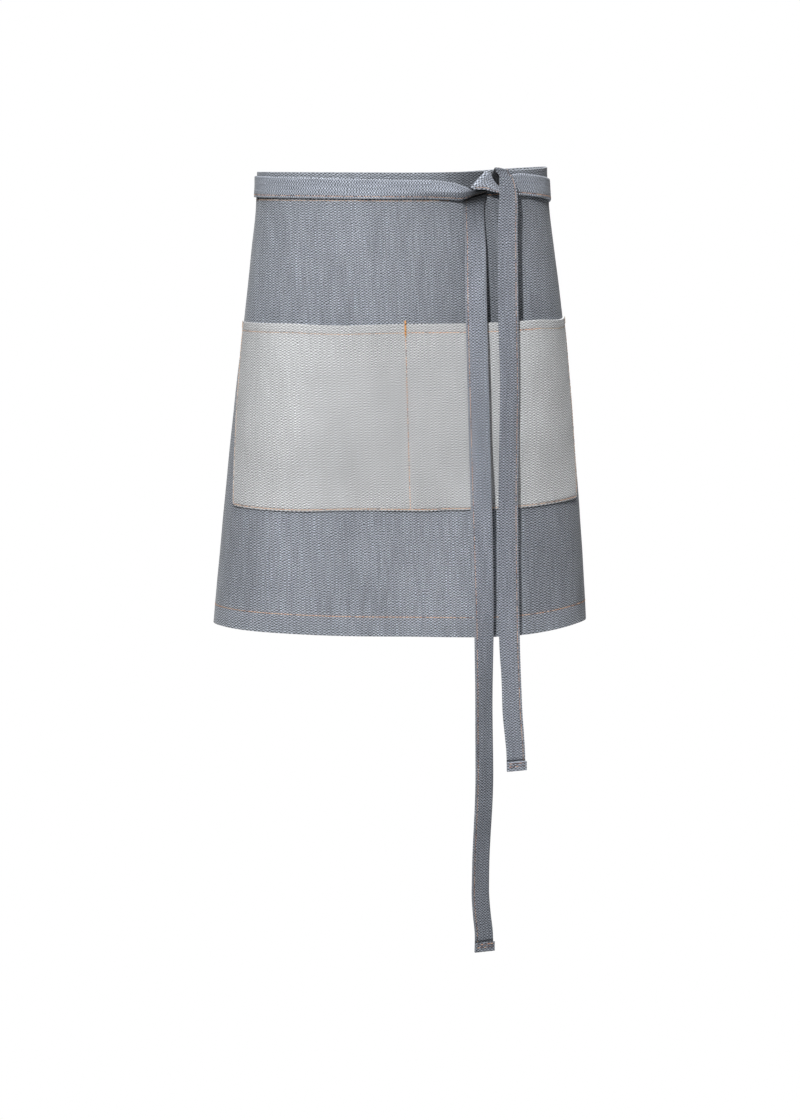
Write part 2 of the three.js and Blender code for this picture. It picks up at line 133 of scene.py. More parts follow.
# %% [markdown]
# ## The oval that the cloth hangs in
#
# Seen from above, the hanging panel follows a rounded oval, a little fuller than an ellipse,
# that grows from the ties to the hem. A circle would be too deep and a plain ellipse too pointed
# at its sides. `around` gives a point on this oval from an angle and a height, and moves it
# outwards along the oval's own normal, so layers of cloth can be stacked on one another.

# %% The rounded oval
WAIST_HALF, WAIST_DEPTH = 150.0, 98.0
HEM_HALF, HEM_FRONT, HEM_BACK, HEM_SWAY = 195.0, 112.0, 118.0, -2.5
FULLNESS = 2.25
PANEL_LENGTH, EDGE_ABOVE_TIES, PLUMB = 470.0, 13.9, 0.998
LEVEL_DOWN = [0.0, 0.08, 0.17, 0.3, 0.5, 0.72, 0.9, 1.0]
LEVEL_SPREAD = [0.0, 0.045, 0.155, 0.315, 0.553, 0.773, 0.927, 1.0]
LEVEL_SWAY = [0.1, -0.1, -0.25, -0.5, -0.15, 0.2, 0.65, 1.0]


def signed_power(value, power):
    return np.sign(value) * np.abs(value) ** power


def form_at(z):
    down = np.clip((EDGE_ABOVE_TIES - z) / (PANEL_LENGTH * PLUMB), 0, 1)
    spread = read_table(LEVEL_DOWN, LEVEL_SPREAD, down)
    half = WAIST_HALF + spread * (HEM_HALF - WAIST_HALF)
    front = WAIST_DEPTH + spread * (HEM_FRONT - WAIST_DEPTH)
    back = WAIST_DEPTH + spread * (HEM_BACK - WAIST_DEPTH)
    return half, front, back, HEM_SWAY * read_table(LEVEL_DOWN, LEVEL_SWAY, down)


def around(angle, z, out=0.0):
    """Points round the form. The angle is 0 at the front and grows towards +X."""
    angle, z, out = np.broadcast_arrays(*(np.asarray(v, float) for v in (angle, z, out)))
    half, front, back, sway = form_at(z)
    depth = np.where(np.cos(angle) > 0, front, back)
    x = half * signed_power(np.sin(angle), 2 / FULLNESS)
    y = -depth * signed_power(np.cos(angle), 2 / FULLNESS)
    slope_x = signed_power(x / half, FULLNESS - 1) / half
    slope_y = signed_power(y / depth, FULLNESS - 1) / depth
    size = np.hypot(slope_x, slope_y)
    return np.stack([x + sway + slope_x / size * out, y + slope_y / size * out, z], axis=-1)


print("front of the waist:", around(0.0, 0.0).round(1))
print("side of the hem:", around(math.pi / 2, -450.0).round(1))

# %% [markdown]
# Cloth doesn't know about angles. It is measured with a tape, so a place on it is a length
# `across` from its middle and a length `down` from its top edge. The table made here turns tape
# lengths round the form into angles, once for each height, and looking a length up in it is
# much faster than adding up short steps for each of many thousands of points.

# %% Lengths round the form
TABLE_HEIGHTS = np.arange(-488.0, 41.0, 4.0)
TABLE_ANGLES = np.linspace(0, math.pi, 361)


def make_arc_table():
    heights, angles = np.meshgrid(TABLE_HEIGHTS, TABLE_ANGLES, indexing="ij")
    steps = np.linalg.norm(np.diff(around(angles, heights), axis=1), axis=2)
    return np.concatenate([np.zeros((len(heights), 1)), np.cumsum(steps, axis=1)], axis=1)


ARC_TABLE = make_arc_table()


def table_rows(z):
    place = (z - TABLE_HEIGHTS[0]) / (TABLE_HEIGHTS[1] - TABLE_HEIGHTS[0])
    place = np.clip(place, 0, len(TABLE_HEIGHTS) - 1.001)
    return place.astype(int), place - place.astype(int)


def look_up(value, z, forwards):
    """Turns lengths into angles, or angles into lengths, at these heights."""
    value, z = np.broadcast_arrays(np.asarray(value, float), np.asarray(z, float))
    rows, share = table_rows(z)
    found = np.empty(value.shape)
    for row in np.unique(rows):
        here = rows == row
        ends = []
        for lengths in (ARC_TABLE[row], ARC_TABLE[row + 1]):
            known, wanted = (lengths, TABLE_ANGLES) if forwards else (TABLE_ANGLES, lengths)
            ends.append(np.interp(np.abs(value[here]), known, wanted))
        found[here] = ends[0] + share[here] * (ends[1] - ends[0])
    return np.sign(value) * found


def angle_at_arc(arc, z):
    return look_up(arc, z, True)


def arc_at_angle(angle, z):
    return look_up(angle, z, False)


def front_angle(x, z):
    """Angle of the point of the front half that lies at x."""
    half, _, _, sway = form_at(np.asarray(z, float))
    share = np.clip((x - sway) / half, -1, 1)
    return np.arcsin(signed_power(share, FULLNESS / 2))


GIRTH = float(2 * arc_at_angle(math.pi, 0.0))
print(f"girth at the waist: {GIRTH:.0f} mm")

# %% [markdown]
# ## How the panel hangs
#
# A flat cloth bent round a widening oval doesn't stay level: it is pulled up at the sides,
# its grain leans a little, and its back corners droop. `cloth_point` puts all of this together,
# and everything that is sewn to the panel uses it too, so a stitch or a pocket can never float
# off the cloth that carries it.

# %% From the flat cloth to the oval
BACK_OPENING = 87.0
PANEL_WIDTH = GIRTH - BACK_OPENING
HALF_PANEL = PANEL_WIDTH / 2
RIGHT_RISE, LEFT_RISE, RISE_SPAN, RISE_SHARPNESS = 8.0, 0.8, 300.0, 2.2
BACK_DROOP, DROOP_SHARPNESS, SIDE_SHARE = 9.0, 1.3, 0.56
GRAIN_LEAN, CENTRE_SHIFT = 0.032, -2.3
HEM_DIP, HEM_CORNER_RISE = 3.6, 3.0


def lift_at(arc):
    reach = np.abs(arc)
    pull = np.sin(np.minimum(reach / RISE_SPAN, 1) * math.pi / 2)
    behind = ramp(reach / HALF_PANEL, SIDE_SHARE, 1)
    risen = np.where(arc > 0, RIGHT_RISE * pull**RISE_SHARPNESS, LEFT_RISE * pull)
    return risen - BACK_DROOP * behind**DROOP_SHARPNESS


def hem_lift_at(arc, down):
    reach = (down / PANEL_LENGTH) ** 3
    side = np.clip(np.abs(arc) / (PANEL_WIDTH / 3), 0, 1)
    dip = -HEM_DIP * np.sin(math.pi * side) ** 2
    return reach * np.where(arc > 0, dip, HEM_CORNER_RISE * side**3)


def cloth_point(across, down, out=0.0):
    across, down = np.broadcast_arrays(np.asarray(across, float), np.asarray(down, float))
    arc = across + CENTRE_SHIFT + GRAIN_LEAN * down
    z = EDGE_ABOVE_TIES + lift_at(arc) + hem_lift_at(arc, down) - PLUMB * down
    return around(angle_at_arc(arc, z), z, out)


print(f"panel: {PANEL_WIDTH:.0f} mm by {PANEL_LENGTH:.0f} mm")

# %% [markdown]
# ## Making a sheet of cloth
#
# A thin plane with a Solidify modifier would give cloth an even thickness, but real cloth is
# thicker where it is hemmed and its folded edges are round. So a sheet is built from two grids,
# its outer and its inner face, with a rounded rim between them. Each point also remembers its
# place on the cloth in the attribute `cloth`, and the weave is drawn from that, so the yarns
# follow the cloth wherever it bends. A second attribute, `wear`, says where the cloth has been
# rubbed pale, and a third, `tone`, holds painted light and shade: how the yarns lie to the light,
# and where the cloth lies in shade.

# %% From numbers to a mesh
collection = bpy.context.scene.collection


def new_piece(name, points, faces, cloth, wear, tone):
    """Makes a smooth mesh object in metres, with its attributes for the materials."""
    mesh = bpy.data.meshes.new(name)
    mesh.from_pydata((np.asarray(points) * MM).tolist(), [], faces)
    mesh.attributes.new("cloth", "FLOAT_VECTOR", "POINT").data.foreach_set(
        "vector", (np.asarray(cloth, np.float32) * MM).ravel()
    )
    # `tone` is painted light and shade, multiplied into the colour; `wear` is real rubbing
    for attribute, values in (("wear", wear), ("tone", tone)):
        values = np.broadcast_to(np.asarray(values, np.float32), len(points))
        mesh.attributes.new(attribute, "FLOAT", "POINT").data.foreach_set("value", values.copy())
    mesh.polygons.foreach_set("use_smooth", np.ones(len(mesh.polygons), bool))
    mesh.update()
    piece = bpy.data.objects.new(name, mesh)
    collection.objects.link(piece)
    return piece


def turned_outwards(piece):
    """Turns the faces of a closed piece so that they look outwards."""
    mesh = piece.data
    mesh.calc_loop_triangles()
    corners = np.empty(len(mesh.vertices) * 3)
    mesh.vertices.foreach_get("co", corners)
    corners = corners.reshape(-1, 3)
    triangles = np.empty(len(mesh.loop_triangles) * 3, int)
    mesh.loop_triangles.foreach_get("vertices", triangles)
    p, q, r = (corners[triangles.reshape(-1, 3)[:, n]] for n in range(3))
    if np.einsum("ij,ij->", p, np.cross(q, r)) < 0:
        mesh.flip_normals()
    return piece


print("pieces go into the collection:", collection.name)

# %% The sheet builder
BESIDE_LINE, LINE_CLEARING = (0.25, 0.6, 1.1, 1.7, 2.6), 3.2
EDGE_INSETS, ROUNDNESS = (0.7, 1.1, 1.8), 0.45
# The third number of `cloth` says which side of the sheet a point is on
OUTER_SIDE, RIM_SIDE, INNER_SIDE = 0.0, 50.0, 100.0


def lines(start, end, pitch, close_to):
    """Places from start to end, with closer ones beside each place in close_to."""
    count = max(1, round((end - start) / pitch))
    places = list(np.linspace(start, end, count + 1))
    steps = (*(-step for step in BESIDE_LINE), 0.0, *BESIDE_LINE)
    for centre in close_to:
        places = [p for p in places if abs(p - centre) > LINE_CLEARING or p in (start, end)]
        places += [centre + step for step in steps if start < centre + step < end]
    places += [place for inset in EDGE_INSETS for place in (start + inset, end - inset)]
    return np.unique(np.round(places, 4))


def grid_faces(wide, tall, first, turned):
    """Quads of a grid of points that is stored row by row, starting at index `first`."""
    corner = (np.arange(tall - 1)[:, None] * wide + np.arange(wide - 1)[None, :] + first).ravel()
    quads = np.stack([corner, corner + wide, corner + wide + 1, corner + 1], axis=1)
    return quads[:, ::-1] if turned else quads


def rim_indices(wide, tall):
    """The grid points round the edge of a grid, in order, without the first one repeated."""
    top = np.arange(wide)
    right = np.arange(1, tall) * wide + wide - 1
    bottom = (tall - 1) * wide + np.arange(wide - 2, -1, -1)
    left = np.arange(tall - 2, 0, -1) * wide
    return np.concatenate([top, right, bottom, left])


def sheet_piece(name, columns, rows, outer, inner, wear, tone, roundness=ROUNDNESS):
    """A closed sheet whose two faces are functions of the place on the cloth."""
    inset_columns, inset_rows = columns.copy(), rows.copy()
    for places in (inset_columns, inset_rows):
        places[0] += roundness
        places[-1] -= roundness
    wide, tall = len(columns), len(rows)
    size = wide * tall
    across, down = np.meshgrid(inset_columns, inset_rows)
    across, down = across.ravel(), down.ravel()
    front, back = outer(across, down), inner(across, down)
    rim = rim_indices(wide, tall)
    edge_across, edge_down = (g.ravel()[rim] for g in np.meshgrid(columns, rows))
    middle = (outer(edge_across, edge_down) + inner(edge_across, edge_down)) / 2
    points = np.concatenate([front, back, middle])
    place = np.concatenate([
        np.stack([x, y, np.full(len(x), side)], axis=1)
        for x, y, side in (
            (across, down, OUTER_SIDE),
            (across, down, INNER_SIDE),
            (edge_across, edge_down, RIM_SIDE),
        )
    ])
    following = np.roll(rim, -1)
    edge = 2 * size + np.arange(len(rim))
    edge_following = np.roll(edge, -1)
    faces = np.concatenate([
        grid_faces(wide, tall, 0, False),
        grid_faces(wide, tall, size, True),
        np.stack([rim, following, edge_following, edge], axis=1),
        np.stack([edge, edge_following, following + size, rim + size], axis=1),
    ])
    rubbed, toned = wear(across, down), tone(across, down)
    rubbed = np.concatenate([rubbed, rubbed, np.ones(len(rim))])
    toned = np.concatenate([toned, toned, tone(edge_across, edge_down)])
    print(f"{name}: {2 * len(faces)} triangles")
    return turned_outwards(new_piece(name, points, faces.tolist(), place, rubbed, toned))


print("places with closer ones beside 20:", lines(0.0, 40.0, 10.0, (20.0,)))

# %% [markdown]
# ## The panel
#
# The panel is one layer of denim with its edges folded in and stitched down: a deep hem at the
# top, where the ties pull, and narrow ones at the bottom and the back edges. A stitched line
# pulls the cloth in, so it sits in a small groove, the hem beside it stands slightly proud, and
# the cloth puckers along it. That relief is far too small to sculpt but it catches the light,
# so it is added as a formula of the distance from each line.

# %% Seams in relief
CLOTH, CLOTH_GAP, FOLD_BULGE = 1.0, 0.3, 0.75
TOP_HEM, BOTTOM_HEM, SIDE_HEM = 30.0, 21.2, 10.0
SEAM_GROOVE, SEAM_WIDTH = 0.34, 0.9
PUCKER, PUCKER_PITCH, PUCKER_REACH = 0.16, 8.2, 5.0
# Puckers aren't evenly spaced: (how far they wander, length of the wander, start)
PUCKER_WANDER = [(1.7, 31.0, 0.0), (1.1, 13.7, 2.0)]
# Slow waves: (height, length across, lean, start). Quick ones: height and lengths
SLOW_WAVES, FREE_POWER = [(0.5, 27.0, 0.006, 0.8), (0.35, 15.5, -0.004, 2.1)], 1.5
QUICK_WAVE, QUICK_LENGTHS = 0.12, (9.0, 23.0, 17.0)


def seam_relief(distance, along, pitch=PUCKER_PITCH):
    """The groove and the puckers of a stitched line."""
    groove = -SEAM_GROOVE * np.exp(-((distance / SEAM_WIDTH) ** 2))
    wander = sum(far * np.sin(along / length + start) for far, length, start in PUCKER_WANDER)
    ripple = np.sin(2 * math.pi * along / pitch + wander)
    near = np.exp(-((np.abs(distance) / PUCKER_REACH) ** 2))
    return groove + PUCKER * ripple * near


def soft_waves(across, down):
    """The slow, low waves of cloth that hangs almost flat."""
    free = np.clip(down / PANEL_LENGTH, 0, 1) ** FREE_POWER
    slow = sum(
        height * np.sin(across / length + lean * down + start)
        for height, length, lean, start in SLOW_WAVES
    )
    over, under, along = QUICK_LENGTHS
    return free * slow + QUICK_WAVE * np.sin(across / over + down / under) * np.sin(down / along)


print("groove of a seam:", seam_relief(np.array([0.0, 1.0, 5.0]), 0.0).round(2), "mm")

# %% Where the panel is stitched
TOP_INSET, HEM_INSET = 2.0, 1.5
TOP_LINE, BOTTOM_LINE = TOP_HEM - TOP_INSET, PANEL_LENGTH - BOTTOM_HEM + HEM_INSET
SIDE_LINE = HALF_PANEL - SIDE_HEM + HEM_INSET
KNOT_PULL, PULL_FROM, PULL_TO = 5.0, 46, 70


def top_stitch(across):
    """The top hem's stitched line, which is drawn up a little where the knot pulls."""
    return TOP_LINE - KNOT_PULL * ramp(across, PULL_FROM, PULL_TO)


def panel_seams(across, down):
    """Distances from the panel's stitched lines, each with the length along it."""
    return [
        (down - top_stitch(across), across),
        (BOTTOM_LINE - down, across),
        (SIDE_LINE - np.abs(across), down),
    ]


def panel_relief(across, down):
    relief = soft_waves(across, down)
    for distance, along in panel_seams(across, down):
        relief = relief + seam_relief(distance, along)
    return relief


def panel_layers(across, down):
    hemmed = (down < TOP_HEM) | (down > PANEL_LENGTH - BOTTOM_HEM)
    return np.where(hemmed | (np.abs(across) > HALF_PANEL - SIDE_HEM), 2, 1)


middle_groove = panel_relief(np.array([0.0]), np.array([TOP_LINE]))[0]
print(f"groove of the top hem at its middle: {middle_groove:.2f} mm")

# %% Where the panel is rubbed
EDGE_WEAR, EDGE_WEAR_REACH = 0.5, 1.2
SEAM_WEAR, SEAM_WEAR_REACH = 0.3, 2.5


def edge_wear(across, down, half, length, most, reach):
    """How far the edges of a piece of cloth are rubbed pale."""
    edge = np.minimum(np.minimum(down, length - down), half - np.abs(across))
    return most * np.exp(-edge / reach)


def panel_wear(across, down):
    rubbed = edge_wear(across, down, HALF_PANEL, PANEL_LENGTH, EDGE_WEAR, EDGE_WEAR_REACH)
    for distance, along in panel_seams(across, down):
        ripple = 0.5 + 0.5 * np.sin(2 * math.pi * along / PUCKER_PITCH)
        rubbed = rubbed + SEAM_WEAR * ripple * np.exp(-((distance / SEAM_WEAR_REACH) ** 2))
    return np.clip(rubbed, 0, 1)


print("wear at the top edge:", float(panel_wear(0.0, 0.0).round(2)))

# %% [markdown]
# The panel's colour holds painted light and shade: it is brighter or darker across the cloth as
# the light falls on this apron, and darkest where it lies in the painted shade under the knot.
# Noise would put such tones anywhere. A short table of tones across the cloth, one for its upper
# part and one for its lower, puts them where they are on this apron, and a smooth curve joins
# them. Near the hem all the tones come to the same, slightly darker value.

# %% Tones across the panel
# (across, painted tone above the pocket, painted tone below it)
PAINTED_PANEL_SHADING = [
    (-330, 1.0, 1.0), (-172, 0.98, 0.83), (-145, 0.95, 1.01), (-60, 0.97, 0.92),
    (10, 0.87, 1.0), (60, 0.75, 1.08), (90, 0.68, 1.22), (130, 0.92, 0.77),
    (200, 0.98, 0.87), (330, 1.0, 1.0),
]
TURN_FROM, TURN_TO = 150, 350
HEM_FROM, HEM_TO, HEM_TONE = PANEL_LENGTH - 24, PANEL_LENGTH - 14, 0.97
KNOT_AT, KNOT_REACH, PAINTED_KNOT_SHADE = (78.0, 5.0), (30.0, 22.0), 0.5


def panel_painted_shading(across, down):
    keys, above, below = zip(*PAINTED_PANEL_SHADING)
    share, hem = ramp(down, TURN_FROM, TURN_TO), ramp(down, HEM_FROM, HEM_TO)
    tone = read_table(keys, above, across) * (1 - share) + read_table(keys, below, across) * share
    # Painted shade right under the knot
    off = [(place - at) / reach for place, at, reach in zip((across, down), KNOT_AT, KNOT_REACH)]
    shade = PAINTED_KNOT_SHADE * np.exp(-off[0] ** 2 - off[1] ** 2)
    return (tone + (HEM_TONE - tone) * hem) * (1 - shade)


print("tone at the panel's middle:", panel_painted_shading(np.array([0.0]), np.array([100.0])).round(2))

# %% The panel's mesh
PANEL_PITCH, HEM_BULGE = 4.0, 0.4


def panel_outer(across, down, raised=0.0):
    return cloth_point(across, down, panel_relief(across, down) + raised)


def panel_inner(across, down):
    return panel_outer(across, down, -CLOTH * panel_layers(across, down))


front_panel = sheet_piece(
    "front_panel_cloth",
    lines(-HALF_PANEL, HALF_PANEL, PANEL_PITCH, (-SIDE_LINE, SIDE_LINE)),
    lines(-FOLD_BULGE, PANEL_LENGTH + HEM_BULGE, PANEL_PITCH, (TOP_LINE, BOTTOM_LINE)),
    panel_outer,
    panel_inner,
    panel_wear,
    panel_painted_shading,
)

# %% [markdown]
# Denim has a dark face and a pale reverse. The panel's inner side shows the reverse, but each
# hem is folded inwards and turns the face to the inside, so the pale part has a dark frame. Two
# materials on one piece could do this too. Here one more attribute, `turned`, marks where the
# reverse shows, and the material reads it.

# %% Where the reverse shows
def mark_reverse(piece, layers):
    """Sets `turned` to 1 on the inner side, wherever the cloth is a single layer."""
    place = np.empty(3 * len(piece.data.vertices), np.float32)
    piece.data.attributes["cloth"].data.foreach_get("vector", place)
    across, down, side = place.reshape(-1, 3).T / MM
    turned = (side > (RIM_SIDE + INNER_SIDE) / 2) & (layers(across, down) == 1)
    piece.data.attributes.new("turned", "FLOAT", "POINT").data.foreach_set(
        "value", turned.astype(np.float32)
    )
    return float(turned.mean())


print(f"points that show the reverse: {mark_reverse(front_panel, panel_layers):.0%}")

# %% [markdown]
# ## The patch pocket
#
# The pocket is sewn on along its sides and its bottom, and along one line down its middle, so
# its cloth can only stand away from the panel between those lines, and most of all at the
# mouth. A bow that is highest at the mouth and fades to nothing at the seams gives both
# compartments room. The bow could also come from a simulation, but then its place would change
# with every small change of the panel.

# %% Where the pocket lies
POCKET_WIDTH, POCKET_HEIGHT, POCKET_DROP = 400.0, 189.0, 151.4
HALF_POCKET = POCKET_WIDTH / 2
POCKET_HEM, POCKET_TURN_IN = 10.0, 8.0
POCKET_BOW, BOW_SHARPNESS, BOW_FADE = 9.5, 1.2, 0.4 * POCKET_HEIGHT
# How far the mouth and the bottom hang below their straight lines: (across, millimetres)
MOUTH_SAG = [
    (-200, 2.2), (-155, 1.8), (-112, 1.2), (-92, 2.0), (-65, 2.4), (-42, 1.7), (-12, 0.9),
    (8, 0.4), (44, 0.5), (134, 0.5), (155, 2.1), (178, 3.4), (200, 3.1),
]
BOTTOM_SAG = [
    (-200, 2.4), (-184, 3.2), (-140, 4.1), (-117, 3.9), (-90, 2.8), (-64, 1.6), (-38, 1.3),
    (17, 1.6), (38, 0.8), (125, 1.0), (162, 0.6), (200, 0.6),
]


def pocket_down(across, fall):
    """Distance below the panel's top edge of a place on the pocket."""
    share = fall / POCKET_HEIGHT
    mouth = read_table(*zip(*MOUTH_SAG), across)
    bottom = read_table(*zip(*BOTTOM_SAG), across)
    return POCKET_DROP + fall + mouth * (1 - share) + bottom * share


def pocket_bow(across, fall):
    seam = POCKET_TURN_IN / 2
    open_share = ramp(np.abs(across), seam, HALF_POCKET - seam)
    height = np.clip((POCKET_HEIGHT - seam - fall) / BOW_FADE, 0, 1)
    upward = height * height * (3 - 2 * height)
    return POCKET_BOW * np.sin(math.pi * open_share) ** BOW_SHARPNESS * upward


print(f"bow of a compartment's mouth: {float(pocket_bow(HALF_POCKET / 2, 0.0)):.1f} mm")

# %% The pocket's seams and faces
EDGE_STITCH = 1.8
MOUTH_LINE = POCKET_HEM - 1
LOW_LINE, EDGE_LINE = POCKET_HEIGHT - EDGE_STITCH, HALF_POCKET - EDGE_STITCH
POCKET_PUCKERS, POCKET_AIR, INNER_GROOVE = 7.4, 0.1, 0.1
PRESSED, PRESSED_REACH = 0.8, 3.0
# Low waves: their height, and (length, start) across the pocket and down it
POCKET_WAVE, WAVE_ACROSS, WAVE_DOWN = 0.25, (19.0, 1.3), (26.0, 0.4)


def pocket_relief(across, fall):
    relief = POCKET_WAVE
    for place, (length, start) in ((across, WAVE_ACROSS), (fall, WAVE_DOWN)):
        relief = relief * np.sin(place / length + start)
    for distance, along in (
        (fall - MOUTH_LINE, across),
        (EDGE_LINE - np.abs(across), fall),
        (LOW_LINE - fall, across),
        (across, fall),
    ):
        relief = relief + seam_relief(distance, along, POCKET_PUCKERS)
    return relief


def pocket_layers(across, fall):
    at_side = np.abs(across) > HALF_POCKET - POCKET_TURN_IN
    at_end = (fall < POCKET_HEM) | (fall > POCKET_HEIGHT - POCKET_TURN_IN)
    return np.where(at_side | at_end, 2, 1)


def pressed(fall):
    """How much the iron and the seam thin the two layers at the pocket's bottom."""
    return PRESSED * np.exp(-(((POCKET_HEIGHT - fall) / PRESSED_REACH) ** 2))


def pocket_out(across, fall):
    """Distance of the pocket's outer face from the form."""
    under = soft_waves(across, pocket_down(across, fall))
    return under + CLOTH_GAP + 2 * CLOTH + POCKET_AIR + pocket_bow(across, fall) - pressed(fall)


def pocket_outer(across, fall, raised=0.0):
    out = pocket_out(across, fall) + pocket_relief(across, fall) + raised
    return cloth_point(across, pocket_down(across, fall), out)


def pocket_inner(across, fall):
    wall = CLOTH * pocket_layers(across, fall) - pressed(fall)
    relief = np.maximum(pocket_relief(across, fall), -INNER_GROOVE)
    return cloth_point(across, pocket_down(across, fall), pocket_out(across, fall) + relief - wall)


print("layers at the pocket's corner:", int(pocket_layers(HALF_POCKET, 0.0)))

# %% The pocket's mesh
POCKET_PITCH, POCKET_ROUNDNESS = 3.5, 0.35
POCKET_EDGE_WEAR, POCKET_WEAR_REACH = 0.7, 1.0
# Painted light on the reverse, brightest where the pocket bends back: (across, tone)
PAINTED_POCKET_LIGHT = [
    (-200, 1.02), (-130, 1.14), (-65, 1.04), (35, 0.95), (110, 1.13), (150, 1.2), (200, 1.66),
]
# Painted light low between the hanging ends: its middle, its reach, and how much lighter it is
PAINTED_LIGHT_ACROSS, PAINTED_LIGHT_REACH, PAINTED_LIGHT_FROM, PAINTED_LIGHT_TO, PAINTED_LIGHTER = 72, 28, 120, 165, 0.32


def pocket_wear(across, fall):
    edges = (HALF_POCKET, POCKET_HEIGHT, POCKET_EDGE_WEAR, POCKET_WEAR_REACH)
    return np.clip(edge_wear(across, fall, *edges), 0, 1)


def pocket_painted_light(across, fall):
    # Painted light, added low between the hanging ends
    near = np.exp(-(((across - PAINTED_LIGHT_ACROSS) / PAINTED_LIGHT_REACH) ** 2))
    pale = PAINTED_LIGHTER * near * ramp(fall, PAINTED_LIGHT_FROM, PAINTED_LIGHT_TO)
    return read_table(*zip(*PAINTED_POCKET_LIGHT), across) * (1 + pale)


patch_pocket = sheet_piece(
    "patch_pocket_cloth",
    lines(-HALF_POCKET, HALF_POCKET, POCKET_PITCH, (-EDGE_LINE, 0.0, EDGE_LINE)),
    lines(0, POCKET_HEIGHT, POCKET_PITCH, (MOUTH_LINE, LOW_LINE)),
    pocket_outer,
    pocket_inner,
    pocket_wear,
    pocket_painted_light,
    POCKET_ROUNDNESS,
)

# %% [markdown]
# ## The ties
#
# A tie is a strip of denim folded lengthwise with its raw edges inside and stitched along one
# edge. It is sewn to a back corner, goes round the oval, through the knot, and hangs down. It
# could be a curve with a flat profile, but a curve decides by itself how a ribbon twists. Here
# the two edges of the band are given separately, `a` and `b`, and the band is whatever lies
# between them, so every turn and fold of the knot is exactly where it is wanted.

# %% The run round the waist
TIE_WIDTH, TIE_THICKNESS, LAYER_GAP, SEWN_LENGTH = 22.0, 2.0, 0.4, 25.0
TURN_PITCH = 0.04


def layer_out(layer):
    return LAYER_GAP + TIE_THICKNESS / 2 + (layer - 1) * (TIE_THICKNESS + LAYER_GAP)


def joined(*runs):
    """One band from stretches of it. Each is a dict of its two edges, `a` and `b`."""
    return {key: np.concatenate([run[key] for run in runs]) for key in ("a", "b")}


def waist_run(rows):
    """Stretch of a tie round the waist. Each row is (angle, layer, rise, width)."""
    angle, layer, rise, width = (np.array(column, float) for column in zip(*rows))
    direction = np.sign(angle[-1] - angle[0])
    count = math.ceil(abs(angle[-1] - angle[0]) / TURN_PITCH)
    places = np.linspace(angle[0], angle[-1], count, endpoint=False)

    def read(column):
        return read_table(direction * (angle - angle[0]), column, direction * (places - angle[0]))

    middle, half = read(rise) * TIE_WIDTH, read(width) * TIE_WIDTH / 2
    out = layer_out(read(layer))
    wrapped = np.arctan2(np.sin(places), np.cos(places))
    return {"a": around(wrapped, middle + half, out), "b": around(wrapped, middle - half, out)}


def corner_angle(side, inset=0.0):
    """Angle of a back corner of the panel, or of a place beside it. The right side is 1."""
    return float(angle_at_arc(side * (HALF_PANEL - inset) + CENTRE_SHIFT, 0.0))


SIDE, ROUND = math.pi / 2, 2 * math.pi
right_edge, right_root = corner_angle(1), corner_angle(1, SEWN_LENGTH)
left_edge, left_root = corner_angle(-1), corner_angle(-1, SEWN_LENGTH)
print(f"back corners at {math.degrees(left_edge):.0f} and {math.degrees(right_edge):.0f} degrees")

# %% [markdown]
# ### The knot
#
# The short tie comes from the left, narrows, turns up behind the long one and comes over its
# top, and hangs down in front. The long tie comes from the right, lies in front of the short
# one and folds back behind it along a slanting line. The tables give the two edges in tie
# widths from the knot's middle, and the layer of tie that the band lies in, counted outwards
# from the panel. A fold is a half turn about a line from one layer to another.

# %% The knot's tables
KNOT_ACROSS, KNOT_HEIGHT, FOLD_STEPS = 97.0, 2.0, 6
SHORT_ENTRY = [
    # a across, a height, b across, b height, layer at a, layer at b
    (-3.24, 0.23, -3.24, -0.65, 1.0, 1.0),
    (-2.69, 0.19, -2.69, -0.67, 1.0, 1.0),
    (-2.17, 0.12, -2.15, -0.69, 1.5, 1.5),
    (-1.8, 0.01, -1.78, -0.7, 2.25, 2.25),
    (-1.53, -0.1, -1.51, -0.63, 2.25, 2.25),
    (-1.3, -0.23, -1.21, -0.5, 2.25, 2.25),
    (-1.08, -0.22, -0.92, -0.42, 2.25, 2.25),
    (-0.81, -0.06, -0.53, -0.28, 2.25, 2.25),
    (-0.58, 0.18, -0.13, -0.08, 2.25, 2.25),
    (-0.42, 0.42, 0.19, 0.23, 2.25, 2.25),
]
SHORT_FOLD = {"a": (-0.3, 0.66), "b": (0.28, 0.57), "layers": (2.25, 4.5), "away": (0.15, 0.99)}
SHORT_EXIT = [
    (-0.15, 0.43, 0.43, 0.36, 4.5, 4.8),
    (-0.14, 0.16, 0.51, 0.13, 4.5, 5.2),
    (-0.13, -0.34, 0.57, -0.34, 4.5, 5.7),
    (-0.15, -0.89, 0.61, -0.9, 4.5, 5.7),
]
LONG_ENTRY = [
    (1.33, 0.5, 1.34, -0.5, 1.4, 1.4),
    (0.77, 0.52, 0.8, -0.46, 2.3, 2.3),
    (0.36, 0.4, 0.36, -0.41, 3.25, 3.25),
    (-0.08, -0.03, 0.0, -0.38, 3.25, 3.25),
    (-0.37, 0.3, -0.36, -0.31, 3.25, 3.25),
    (-0.48, 0.6, -0.8, -0.21, 3.25, 3.25),
]
LONG_FOLD = {"a": (-0.54, 0.57), "b": (-1.24, -0.2), "layers": (3.25, 1.25), "away": (-0.73, 0.68)}
LONG_EXIT = [
    (-0.47, 0.22, -1.41, -0.41, 1.25, 1.25),
    (-0.52, -0.21, -1.57, -0.62, 1.25, 1.25),
    (-0.64, -0.8, -1.62, -0.94, 1.25, 1.25),
]


def knot_point(x, z, layer, move=(0.0, 0.0)):
    height = KNOT_HEIGHT + z * TIE_WIDTH + move[1]
    across = KNOT_ACROSS + x * TIE_WIDTH + move[0]
    return around(front_angle(across, height), height, layer_out(layer))


